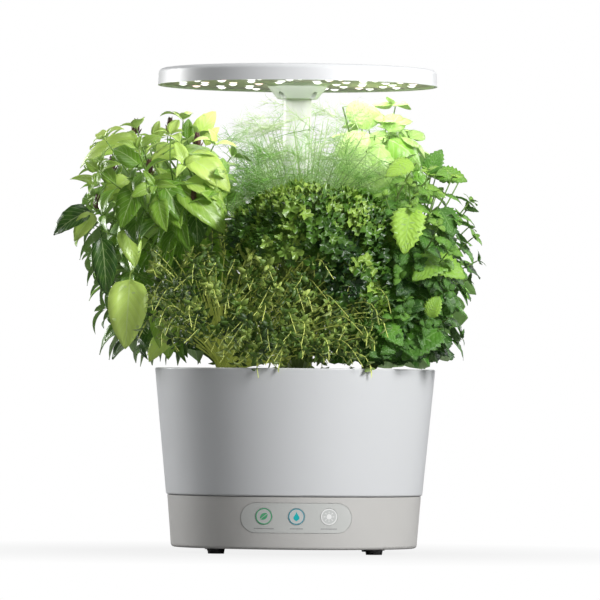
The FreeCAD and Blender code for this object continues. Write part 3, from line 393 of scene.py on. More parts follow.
@dataclass(frozen=True)
class LeafSkin:
    """A living leaf: greens from old to young that also carry painted shade and light, paler veins and
    underside, and a waxy gloss.

    The leaf's own map runs along the midrib in U and from edge to edge in V. The attribute tone
    tells how young a leaf is and also carries painted light: paler high under the hood's lamp and
    where its shoot points up, darker low down. The attribute under tells the lower face from the upper
    one.
    """

    name: str
    old_and_shaded: Colour
    middle: Colour
    young_and_lit: Colour
    vein: Colour
    under: Colour
    vein_pairs: float = 7.0
    vein_share: float = 0.45
    quilt: float = 0.25 * MM
    gloss: float = 0.42
    # glow is a painted glow: the leaf's own colour emitted a little, standing in for light shining
    # through the blade.
    glow: float = 0.12

    def material(self) -> bpy.types.Material:
        """Builds the material.

        Returns:
            The material.
        """
        sheet = ShaderSheet(self.name)
        tone = sheet.attribute("tone")
        mottled = sheet.math("ADD", tone, sheet.math(
            "MULTIPLY", sheet.math("SUBTRACT", sheet.noise(90.0, 4.0), 0.5), 0.35))
        # The ramp from the dark to the pale green paints shade and light as well as the leaf's age.
        stops = ((0.05, self.old_and_shaded), (0.5, self.middle), (0.95, self.young_and_lit))
        blade = sheet.ramp(mottled, stops)
        ribs, swell = self._ribs(sheet)
        veined = sheet.mix(sheet.math("MULTIPLY", ribs, self.vein_share), blade, self.vein)
        under = sheet.mix(0.55, veined, self.under)
        colour = sheet.mix(sheet.attribute("under"), veined, under)
        sheet.link(colour, sheet.shader.inputs["Base Color"])
        # Painted glow: the leaf's colour is emitted too, at the strength glow.
        sheet.link(colour, sheet.shader.inputs["Emission Color"])
        sheet.set(Emission_Strength=self.glow, Roughness=self.gloss, Coat_Weight=0.12,
                  Coat_Roughness=0.3)
        fine = sheet.math("MULTIPLY", sheet.noise(900.0, 3.0), 0.3)
        sheet.bump(sheet.math("ADD", swell, fine), self.quilt)
        return sheet.material

    def _ribs(self, sheet: ShaderSheet) -> tuple[bpy.types.NodeSocket, bpy.types.NodeSocket]:
        """The pattern of midrib and side veins, from the leaf's own map.

        Args:
            sheet: The material's sheet.

        Returns:
            A mask that is one on a vein, and a relief that swells between the veins.
        """
        split = sheet.add("ShaderNodeSeparateXYZ")
        sheet.link(sheet.coords.outputs["UV"], split.inputs[0])
        aside = sheet.math("ABSOLUTE", sheet.math("SUBTRACT", split.outputs["Y"], 0.5))
        midrib = sheet.math("LESS_THAN", aside, 0.022)
        slanted = sheet.math("SUBTRACT", split.outputs["X"], sheet.math("MULTIPLY", aside, 0.62))
        steps = sheet.math("FRACT", sheet.math("MULTIPLY", slanted, self.vein_pairs))
        away = sheet.math("ABSOLUTE", sheet.math("SUBTRACT", steps, 0.5))
        side = sheet.math("MULTIPLY", sheet.math("GREATER_THAN", away, 0.455), 0.7)
        ribs = sheet.math("MAXIMUM", midrib, side)
        swell = sheet.math("SUBTRACT", 0.5, away)
        return ribs, swell


@dataclass(frozen=True)
class StemSkin:
    """A green stem that reddens or pales towards its foot, with fine lengthwise streaks. Its tone also
    carries its shoot's painted light and shade, and glow paints a faint glow on it, though it is no
    lamp.
    """

    name: str
    fresh_and_lit: Colour
    aged_and_shaded: Colour
    glow: float = 0.05

    def material(self) -> bpy.types.Material:
        """Builds the material.

        Returns:
            The material.
        """
        sheet = ShaderSheet(self.name)
        tone = sheet.math("ADD", sheet.attribute("tone"), sheet.math(
            "MULTIPLY", sheet.math("SUBTRACT", sheet.noise(120.0), 0.5), 0.5))
        colour = sheet.ramp(tone, ((0.15, self.aged_and_shaded), (0.75, self.fresh_and_lit)))
        sheet.link(colour, sheet.shader.inputs["Base Color"])
        # Painted glow: the stem's colour is emitted too, at the strength glow.
        sheet.link(colour, sheet.shader.inputs["Emission Color"])
        sheet.set(Emission_Strength=self.glow, Roughness=0.5)
        sheet.bump(sheet.noise(1500.0), 0.08 * MM)
        return sheet.material


class Frame:
    """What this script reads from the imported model."""

    def __init__(self) -> None:
        """Loads the frame and finds the post's axis."""
        self.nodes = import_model()["nodes"]
        self.start_low, self.start_high = (Vector(c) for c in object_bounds())
        low, high = (Vector(c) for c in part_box("lower_post"))
        self.axis = Vector(((low.x + high.x) / 2, 0.0, 0.0))

    def at(self, x: float, y: float, z: float) -> Vector:
        """A point given in millimetres from the foot of the post's axis."""
        return self.axis + Vector((x, y, z)) * MM

    def paint(self, material: bpy.types.Material, *names: str) -> None:
        """Gives nodes of the frame a finish.

        Args:
            material: The finish.
            *names: The nodes' names.
        """
        for name in names:
            slots = self.nodes[name].data.materials
            slots.clear()
            slots.append(material)


def finished(piece: bpy.types.Object, body: Body,
             replaced: Sequence[str] = ()) -> bpy.types.Object:
    """Hands a piece to the frame.

    Args:
        piece: The finished object, in place.
        body: The body that it rides on.
        replaced: The frame's nodes that it stands for.

    Returns:
        The same object.
    """
    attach(piece, body.value)
    if replaced:
        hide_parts(*replaced)
    LOG.info("%s rides on %s: %d faces", piece.name, body.value, len(piece.data.polygons))
    return piece


def new_object(name: str, mesh: bpy.types.Mesh) -> bpy.types.Object:
    """Puts a mesh into the scene as an object at the origin.

    Args:
        name: The name to give.
        mesh: The mesh that it shows.

    Returns:
        The object.
    """
    made = bpy.data.objects.new(name, mesh)
    bpy.context.scene.collection.objects.link(made)
    return made


@dataclass(frozen=True)
class LeafShape:
    """The form of one leaf, grown along +X from its stalk, with its upper face towards +Z.

    Lengths are in metres, angles in radians. The leaf is a thin closed blade.
    """

    name: str
    length: float
    width: float
    stalk: float = 0.12
    widest: float = 0.4
    taper: float = 1.0
    rows: int = 12
    columns: int = 4
    lift: float = 0.25
    droop: float = 0.9
    fold: float = 0.22
    cup: float = 0.0
    teeth: int = 0
    tooth_depth: float = 0.0
    pucker: float = 0.0
    ripple: float = 0.0
    twist: float = 0.0
    thick: float = 0.3 * MM

    def half_width(self, share: float) -> float:
        """Half the blade's width at a share of the blade's length.

        Args:
            share: How far along, from 0 to 1.

        Returns:
            Half the width in metres.
        """
        low = self.widest * 1.6
        high = (1.0 - self.widest) * 1.6 * self.taper
        peak = (low / (low + high)) ** low * (high / (low + high)) ** high
        shape = (share ** low) * ((1.0 - share) ** high) / peak
        return 0.5 * self.width * shape ** 0.75

    def _rows(self) -> list[tuple[float, float]]:
        """Shares along the leaf with the blade's half width there, stalk first.

        Returns:
            Each row's share and half width.
        """
        stations = [(0.0, 0.5 * MM)]
        if self.stalk:
            stations.append((self.stalk * 0.9, 0.5 * MM))
        for number in range(1, self.rows):
            share = number / self.rows
            half = self.half_width(share)
            if self.teeth:
                phase = (share * self.teeth) % 1.0
                half *= 1.0 + self.tooth_depth * (phase - 0.5)
            stations.append((self.stalk + (1.0 - self.stalk) * share, max(half, 0.4 * MM)))
        stations.append((1.0, 0.25 * MM))
        return stations

    def _spine(self, share: float) -> tuple[Vector, float]:
        """The midrib's place and slope at a share of the leaf's length.

        Args:
            share: How far along, from 0 to 1.

        Returns:
            The place, and the slope there.
        """
        steps = 12
        place, slope = Vector((0.0, 0.0, 0.0)), self.lift
        for number in range(steps):
            reached = share * (number + 0.5) / steps
            slope = self.lift - self.droop * reached
            place += Vector((math.cos(slope), 0.0, math.sin(slope))) * self.length * share / steps
        return place, self.lift - self.droop * share

    def mesh(self) -> bpy.types.Mesh:
        """Builds the leaf as a closed mesh with its map and its lower-face mark.

        Returns:
            The mesh.
        """
        shaper = bmesh.new()
        mapping = shaper.loops.layers.uv.new("UVMap")
        under = shaper.verts.layers.float.new("under")
        stations = self._rows()
        sides = []
        for face_side in (1.0, -1.0):
            sides.append([self._row(shaper, under, s, h, face_side) for s, h in stations])
        shares = [s for s, _ in stations]
        for grid, flip in zip(sides, (False, True)):
            self._skin(shaper, mapping, grid, shares, flip)
        self._rim(shaper, mapping, sides, shares)
        bmesh.ops.recalc_face_normals(shaper, faces=shaper.faces)
        for face in shaper.faces:
            face.smooth = True
        mesh = bpy.data.meshes.new(self.name)
        shaper.to_mesh(mesh)
        shaper.free()
        return mesh

    def _row(self, shaper: bmesh.types.BMesh, under: object, share: float, half: float,
             face_side: float) -> list[bmesh.types.BMVert]:
        """One row of points across the leaf, on its upper or lower face.

        Args:
            shaper: The mesh under construction.
            under: The layer that marks the lower face.
            share: How far along, from 0 to 1.
            half: Half the width there.
            face_side: 1 for the upper face, -1 for the lower.

        Returns:
            The row's points.
        """
        place, slope = self._spine(share)
        normal = Vector((-math.sin(slope), 0.0, math.cos(slope)))
        row = []
        blade = max(0.0, (share - self.stalk) / (1.0 - self.stalk))
        for column in range(self.columns + 1):
            across = 2.0 * column / self.columns - 1.0
            rise = abs(across) * half * math.tan(self.fold)
            rise += self.cup * half * (across * across)
            rise += self.pucker * math.sin(blade * 7.0 * math.tau - 3.0 * abs(across)) * (
                0.5 if abs(across) < 0.9 else 0.2) * (1.0 if 0.05 < blade < 0.95 else 0.0)
            rise += self.ripple * math.sin(blade * 4.5 * math.tau + across) * across ** 2
            roll = self.twist * blade
            side = Vector((0.0, math.cos(roll), math.sin(roll)))
            spot = place + side * across * half + normal * (rise + face_side * self.thick / 2)
            vert = shaper.verts.new(spot)
            vert[under] = 0.0 if face_side > 0 else 1.0
            row.append(vert)
        return row

    def _skin(self, shaper: bmesh.types.BMesh, mapping: object, grid: list, shares: list[float],
              flip: bool) -> None:
        """The faces of one side of the blade, with their place on the leaf's map.

        Args:
            shaper: The mesh under construction.
            mapping: The mesh's UV layer.
            grid: The rows of points.
            shares: How far along each row is.
            flip: Whether the corners keep their order.
        """
        for k in range(len(grid) - 1):
            for c in range(self.columns):
                corners = [(k, c), (k, c + 1), (k + 1, c + 1), (k + 1, c)]
                if not flip:
                    corners.reverse()
                face = shaper.faces.new([grid[i][j] for i, j in corners])
                for loop, (i, j) in zip(face.loops, corners):
                    loop[mapping].uv = (shares[i], j / self.columns)

    def _rim(self, shaper: bmesh.types.BMesh, mapping: object, sides: list,
             shares: list[float]) -> None:
        """The narrow faces that close the blade all round.

        Args:
            shaper: The mesh under construction.
            mapping: The mesh's UV layer.
            sides: The upper and the lower grid.
            shares: How far along each row is.
        """
        upper, lower = sides
        last = len(upper) - 1
        ring = [(k, 0) for k in range(last)]
        ring += [(last, c) for c in range(self.columns)]
        ring += [(k, self.columns) for k in range(last, 0, -1)]
        ring += [(0, c) for c in range(self.columns, 0, -1)]
        for (k, c), (kk, cc) in zip(ring, ring[1:] + ring[:1]):
            face = shaper.faces.new([upper[k][c], upper[kk][cc], lower[kk][cc], lower[k][c]])
            places = ((k, c), (kk, cc), (kk, cc), (k, c))
            for loop, (i, j) in zip(face.loops, places):
                loop[mapping].uv = (shares[i], j / self.columns)


@dataclass(frozen=True)
class FrillShape:
    """A curled leaflet of parsley: a small fan whose edge ripples up and down."""

    name: str
    radius: float
    sectors: int = 18
    rings: int = 2
    ripples: int = 6
    depth: float = 0.5
    seed: int = 1

    def mesh(self) -> bpy.types.Mesh:
        """Builds the leaflet, opening upwards round its stalk.

        Returns:
            The mesh.
        """
        luck = random.Random(self.seed)
        shaper = bmesh.new()
        mapping = shaper.loops.layers.uv.new("UVMap")
        shaper.verts.layers.float.new("under")
        start = luck.uniform(0.0, math.tau)
        foot = shaper.verts.new((0.0, 0.0, 0.0))
        loops = []
        for ring in range(1, self.rings + 1):
            share = ring / self.rings
            row = []
            for step in range(self.sectors):
                turn = math.tau * step / self.sectors
                wave = math.sin(self.ripples * turn + start)
                lobed = 1.0 + 0.3 * share * math.sin(3.0 * turn + start) + luck.uniform(-0.14, 0.14)
                out = self.radius * share * lobed
                height = self.radius * (0.4 * share + self.depth * share * share * wave)
                row.append(shaper.verts.new((height, out * math.cos(turn), out * math.sin(turn))))
            loops.append(row)
        for step in range(self.sectors):
            after = (step + 1) % self.sectors
            faces = [[foot, loops[0][step], loops[0][after]]]
            for inner, outer in zip(loops, loops[1:]):
                faces.append([inner[step], outer[step], outer[after], inner[after]])
            for number, corners in enumerate(faces):
                face = shaper.faces.new(corners)
                face.smooth = True
                for loop in face.loops:
                    loop[mapping].uv = (number / self.rings, step / self.sectors)
        mesh = bpy.data.meshes.new(self.name)
        shaper.to_mesh(mesh)
        shaper.free()
        return mesh


@dataclass(frozen=True)
class FrondShape:
    """A feathery dill frond: an axis with paired threads that fork again."""

    name: str
    length: float
    pairs: int = 8
    reach: float = 0.42
    radius: float = 0.22 * MM
    sag: float = 0.12
    forks: int = 3
    seed: int = 1

    def on_axis(self, share: float, bow: float) -> Vector:
        """A point of the frond's axis, which bows aside and sags towards its tip."""
        side, drop = self.length * bow * share * share * 0.5, self.length * self.sag * share * share
        return Vector((self.length * share, side, -drop))

    def mesh(self) -> bpy.types.Mesh:
        """Builds the frond as thin tapered threads.

        Returns:
            The mesh.
        """
        luck = random.Random(self.seed)
        shaper = bmesh.new()
        mapping = shaper.loops.layers.uv.new("UVMap")
        shaper.verts.layers.float.new("under")
        bow = luck.uniform(-0.3, 0.3)
        axis = [self.on_axis(share, bow) for share in (0.0, 0.35, 0.7, 1.0)]
        self._thread(shaper, mapping, axis, self.radius * 1.7)
        for pair in range(self.pairs):
            share = 0.22 + 0.76 * pair / self.pairs
            root = self.on_axis(share, bow)
            reach = self.length * self.reach * (1.0 - 0.62 * share) * luck.uniform(0.8, 1.2)
            for side in (-1.0, 1.0):
                spread = luck.uniform(0.45, 0.95)
                rise = luck.uniform(-0.5, 0.5)
                way = Vector((math.cos(spread), side * math.sin(spread), rise)).normalized()
                self._branch(shaper, mapping, root, way, reach, side, luck)
        mesh = bpy.data.meshes.new(self.name)
        shaper.to_mesh(mesh)
        shaper.free()
        return mesh

    def _branch(self, shaper: bmesh.types.BMesh, mapping: object, root: Vector, way: Vector,
                reach: float, side: float, luck: random.Random) -> None:
        """One side thread with the finer threads that fork from it.

        Args:
            shaper: The mesh under construction.
            mapping: The mesh's UV layer.
            root: Where it starts.
            way: The way that it points.
            reach: Its length.
            side: Which side of the axis it is on.
            luck: The seeded draw.
        """
        bend = Vector((luck.uniform(-0.5, 0.5), luck.uniform(-0.5, 0.5), luck.uniform(-0.8, 0.2)))
        tip = root + (way + bend) * reach
        self._thread(shaper, mapping, [root, root + way * reach * 0.5, tip], self.radius)
        for fork in range(self.forks):
            share = 0.3 + 0.25 * fork
            start = root + way * reach * share
            swing = Quaternion(UP, side * luck.uniform(-0.8, 0.8))
            heading = (swing @ way + Vector((0.0, 0.0, luck.uniform(-0.6, 0.6)))).normalized()
            self._thread(shaper, mapping, [start, start + heading * reach * 0.5],
                         self.radius * 0.8)

    def _thread(self, shaper: bmesh.types.BMesh, mapping: object, points: list[Vector],
                radius: float) -> None:
        """A three-sided tapered thread through a few points, closed at its tip.

        Args:
            shaper: The mesh under construction.
            mapping: The mesh's UV layer.
            points: The points that it passes through.
            radius: Its radius at the start.
        """
        rings = []
        for number, spot in enumerate(points[:-1]):
            ahead = (points[number + 1] - spot).normalized()
            side = ahead.orthogonal().normalized()
            size = radius * (1.0 - 0.5 * number / len(points))
            rings.append([shaper.verts.new(spot + Quaternion(ahead, math.tau * k / 3) @ side * size)
                          for k in range(3)])
        tip = shaper.verts.new(points[-1])
        for k in range(3):
            after = (k + 1) % 3
            faces = [[low[k], low[after], high[after], high[k]]
                     for low, high in zip(rings, rings[1:])]
            faces.append([rings[-1][k], rings[-1][after], tip])
            for corners in faces:
                face = shaper.faces.new(corners)
                face.smooth = True
                for loop in face.loops:
                    loop[mapping].uv = (0.5, 0.25)


@dataclass
class Carrier:
    """Points that leaves are set on, each with its turn, size, tone and choice of leaf."""

    spots: list[Vector] = field(default_factory=list)
    turns: list[Euler] = field(default_factory=list)
    sizes: list[float] = field(default_factory=list)
    tones: list[float] = field(default_factory=list)
    kinds: list[int] = field(default_factory=list)

    def add(self, spot: Vector, heading: Vector, face: Vector, size: float, tone: float,
            kind: int) -> None:
        """Adds one leaf.

        Args:
            spot: Where its stalk starts.
            heading: The way that it points.
            face: The way that its upper face looks.
            size: Its scale.
            tone: How young and well lit it is, from 0 to 1.
            kind: Which of the leaf shapes it has.
        """
        ahead = heading.normalized()
        up = face - ahead * face.dot(ahead)
        if up.length < 0.05:
            up = ahead.orthogonal()
        up.normalize()
        side = up.cross(ahead)
        turn = Matrix((ahead, side, up)).transposed().to_euler()
        self.spots.append(spot)
        self.turns.append(turn)
        self.sizes.append(size)
        self.tones.append(min(1.0, max(0.0, tone)))
        self.kinds.append(kind)

    def mesh(self, name: str) -> bpy.types.Mesh:
        """The points as a mesh without faces, with their values as attributes.

        Args:
            name: The name to give.

        Returns:
            The mesh.
        """
        mesh = bpy.data.meshes.new(name)
        mesh.from_pydata([tuple(s) for s in self.spots], [], [])
        wanted = (
            ("turn", "FLOAT_VECTOR", "vector", np.array([tuple(t) for t in self.turns])),
            ("size", "FLOAT", "value", np.array(self.sizes)),
            ("tone", "FLOAT", "value", np.array(self.tones)),
            ("kind", "INT", "value", np.array(self.kinds)),
        )
        for title, kind, key, values in wanted:
            layer = mesh.attributes.new(title, kind, "POINT")
            layer.data.foreach_set(key, values.ravel())
        return mesh


class NodeTree:
    """A geometry node tree with an object input, ready for a modifier."""

    def __init__(self, name: str) -> None:
        """Starts the tree with its geometry input and output.

        Args:
            name: The name to give.
        """
        self.tree = bpy.data.node_groups.new(name, "GeometryNodeTree")
        for title, way in (("Geometry", "INPUT"), ("Geometry", "OUTPUT")):
            self.tree.interface.new_socket(title, in_out=way, socket_type="NodeSocketGeometry")
        self.entry = self.add("NodeGroupInput")
        self.exit = self.add("NodeGroupOutput")

    def value(self, title: str, kind: str, default: object) -> None:
        """Adds a named input for a size or a choice."""
        socket = self.tree.interface.new_socket(title, in_out="INPUT", socket_type=kind)
        socket.default_value = default

    def add(self, kind: str, **settings: object) -> bpy.types.Node:
        """Adds a node and sets its properties.

        Args:
            kind: The node's or attribute's type.
            **settings: Properties of the node.

        Returns:
            The node.
        """
        node = self.tree.nodes.new(kind)
        for key, value in settings.items():
            setattr(node, key, value)
        return node

    def link(self, source: bpy.types.NodeSocket, target: bpy.types.NodeSocket) -> None:
        """Joins two sockets."""
        self.tree.links.new(source, target)

    def stored(self, title: str, kind: str) -> bpy.types.NodeSocket:
        """Reads a named attribute.

        Args:
            title: The attribute's name.
            kind: The node's or attribute's type.

        Returns:
            The attribute's socket.
        """
        node = self.add("GeometryNodeInputNamedAttribute", data_type=kind)
        node.inputs["Name"].default_value = title
        return node.outputs["Attribute"]

    def finish(self, geometry: bpy.types.NodeSocket, material: bpy.types.Material) -> None:
        """Ends the tree in Realize Instances and Set Material.

        Args:
            geometry: What the tree made.
            material: The finish.
        """
        real = self.add("GeometryNodeRealizeInstances")
        paint = self.add("GeometryNodeSetMaterial")
        paint.inputs["Material"].default_value = material
        self.link(geometry, real.inputs["Geometry"])
        self.link(real.outputs["Geometry"], paint.inputs["Geometry"])
        self.link(paint.outputs["Geometry"], self.exit.inputs["Geometry"])

    def grow(self, name: str, carrier: bpy.types.Mesh, **inputs: object) -> bpy.types.Object:
        """Runs the tree on a carrier mesh.

        Args:
            name: The name of the object to make.
            carrier: The mesh that the tree works on.
            **inputs: Values of the tree's named inputs.

        Returns:
            A plain mesh object with no modifier left on it.
        """
        holder = new_object(name + "_carrier", carrier)
        modifier = holder.modifiers.new("grow", "NODES")
        modifier.node_group = self.tree
        keys = {i.name: i.identifier for i in self.tree.interface.items_tree
                if i.in_out == "INPUT"}
        for title, value in inputs.items():
            modifier[keys[title]] = value
        shown = holder.evaluated_get(bpy.context.evaluated_depsgraph_get())
        mesh = bpy.data.meshes.new_from_object(shown)
        bpy.data.objects.remove(holder)
        mesh.name = name
        return new_object(name, mesh)


def leaf_tree(material: bpy.types.Material, shapes: Sequence[bpy.types.Mesh]) -> NodeTree:
    """A tree that sets leaves on a carrier's points.

    Args:
        material: The leaves' finish.
        shapes: The leaf meshes that the attribute kind chooses among.

    Returns:
        The tree, with the input Size for the size of all its leaves.
    """
    tree = NodeTree("leaves_of_" + material.name)
    tree.value("Size", "NodeSocketFloat", 1.0)
    gather = tree.add("GeometryNodeJoinGeometry")
    for shape in reversed(shapes):
        holder = new_object(shape.name, shape)
        source = tree.add("GeometryNodeObjectInfo")
        source.inputs["Object"].default_value = holder
        single = tree.add("GeometryNodeGeometryToInstance")
        tree.link(source.outputs["Geometry"], single.inputs["Geometry"])
        tree.link(single.outputs["Instances"], gather.inputs["Geometry"])
    sow = tree.add("GeometryNodeInstanceOnPoints")
    sow.inputs["Pick Instance"].default_value = True
    turn = tree.add("FunctionNodeEulerToRotation")
    scale = tree.add("ShaderNodeMath", operation="MULTIPLY")
    tree.link(tree.entry.outputs["Geometry"], sow.inputs["Points"])
    tree.link(gather.outputs["Geometry"], sow.inputs["Instance"])
    tree.link(tree.stored("kind", "INT"), sow.inputs["Instance Index"])
    tree.link(tree.stored("turn", "FLOAT_VECTOR"), turn.inputs[0])
    tree.link(turn.outputs[0], sow.inputs["Rotation"])
    tree.link(tree.stored("size", "FLOAT"), scale.inputs[0])
    tree.link(tree.entry.outputs["Size"], scale.inputs[1])
    tree.link(scale.outputs[0], sow.inputs["Scale"])
    tree.finish(sow.outputs["Instances"], material)
    return tree


def stem_tree(material: bpy.types.Material) -> NodeTree:
    """A tree that turns a carrier's edges into round stems.

    Args:
        material: The stems' finish.

    Returns:
        The tree, with the input Sides for the sides of each stem.
    """
    tree = NodeTree("stems_of_" + material.name)
    tree.value("Sides", "NodeSocketInt", 6)
    path = tree.add("GeometryNodeMeshToCurve")
    thick = tree.add("GeometryNodeSetCurveRadius")
    ring = tree.add("GeometryNodeCurvePrimitiveCircle")
    ring.inputs["Radius"].default_value = 1.0
    sweep = tree.add("GeometryNodeCurveToMesh")
    sweep.inputs["Fill Caps"].default_value = True
    smooth = tree.add("GeometryNodeSetShadeSmooth")
    tree.link(tree.entry.outputs["Geometry"], path.inputs["Mesh"])
    tree.link(path.outputs["Curve"], thick.inputs["Curve"])
    tree.link(tree.stored("thick", "FLOAT"), thick.inputs["Radius"])
    tree.link(tree.entry.outputs["Sides"], ring.inputs["Resolution"])
    tree.link(thick.outputs["Curve"], sweep.inputs["Curve"])
    tree.link(ring.outputs["Curve"], sweep.inputs["Profile Curve"])
    if "Scale" in sweep.inputs:
        tree.link(tree.stored("thick", "FLOAT"), sweep.inputs["Scale"])
    tree.link(sweep.outputs["Mesh"], smooth.inputs["Geometry"])
    tree.finish(smooth.outputs["Geometry"], material)
    return tree


@dataclass
class Stems:
    """The paths of a plant's stems, each a run of points with a thickness and a tone."""

    paths: list[list[Vector]] = field(default_factory=list)
    radii: list[tuple[float, float]] = field(default_factory=list)
    tones: list[float] = field(default_factory=list)

    def add(self, path: list[Vector], foot: float, tip: float, tone: float) -> None:
        """Adds one stem, from its foot's radius to its tip's.

        Args:
            path: The stem's points.
            foot: The radius at its foot.
            tip: The radius at its tip.
            tone: How young and well lit it is.
        """
        self.paths.append(path)
        self.radii.append((foot, tip))
        self.tones.append(tone)

    def mesh(self, name: str) -> bpy.types.Mesh:
        """The paths as a mesh of edges, with thickness and tone on its points.

        Args:
            name: The name to give.

        Returns:
            The mesh.
        """
        spots, edges, thick, tone = [], [], [], []
        for path, (foot, tip), shade in zip(self.paths, self.radii, self.tones):
            first = len(spots)
            for number, spot in enumerate(path):
                share = number / (len(path) - 1)
                spots.append(tuple(spot))
                thick.append(foot + (tip - foot) * share)
                tone.append(shade * (0.35 + 0.65 * share))
            edges += [(first + k, first + k + 1) for k in range(len(path) - 1)]
        mesh = bpy.data.meshes.new(name)
        mesh.from_pydata(spots, edges, [])
        for title, values in (("thick", thick), ("tone", tone)):
            layer = mesh.attributes.new(title, "FLOAT", "POINT")
            layer.data.foreach_set("value", np.array(values))
        return mesh


def bent(points: Sequence[Vector], count: int) -> list[Vector]:
    """Points along a Bezier curve.

    Args:
        points: The curve's control points.
        count: How many points to give.

    Returns:
        Evenly timed points from the first control point to the last.
    """
    found = []
    for number in range(count):
        share = number / (count - 1)
        row = [p.copy() for p in points]
        while len(row) > 1:
            row = [a.lerp(b, share) for a, b in zip(row, row[1:])]
        found.append(row[0])
    return found


@dataclass(frozen=True)
class Lobe:
    """A rounded share of a plant's space, given in millimetres from the post's axis."""

    middle: tuple[float, float, float]
    reach: tuple[float, float, float]
    shoots: int

    LOWEST_RISE = -0.75
    SHALLOW, DEEP = 1.0, 0.72

    def tips(self, frame: Frame, luck: random.Random) -> list[tuple[Vector, Vector]]:
        """Places for shoot tips, spread evenly over the lobe's outside.

        Args:
            frame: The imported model's frame.
            luck: The plant's own seeded draw.

        Returns:
            Each tip with the way that points out of the lobe there.
        """
        centre = frame.at(*self.middle)
        found = []
        for number in range(self.shoots):
            rise = 1.0 - (1.0 - self.LOWEST_RISE) * (number + 0.5) / self.shoots
            flat = math.sqrt(max(0.0, 1.0 - rise * rise))
            turn = number * GOLDEN_TURN + luck.uniform(-0.2, 0.2)
            way = Vector((flat * math.cos(turn), flat * math.sin(turn), rise))
            depth = luck.uniform(self.DEEP, self.SHALLOW)
            tip = centre + Vector([w * r * MM * depth for w, r in zip(way, self.reach)])
            found.append((tip, way))
        return found


@dataclass(frozen=True)
class Feature:
    """One leaf that stands out in the photograph, in millimetres from the post's axis."""

    stalk: tuple[float, float, float]
    tip: tuple[float, float, float]
    tone: float
    kind: int = 0


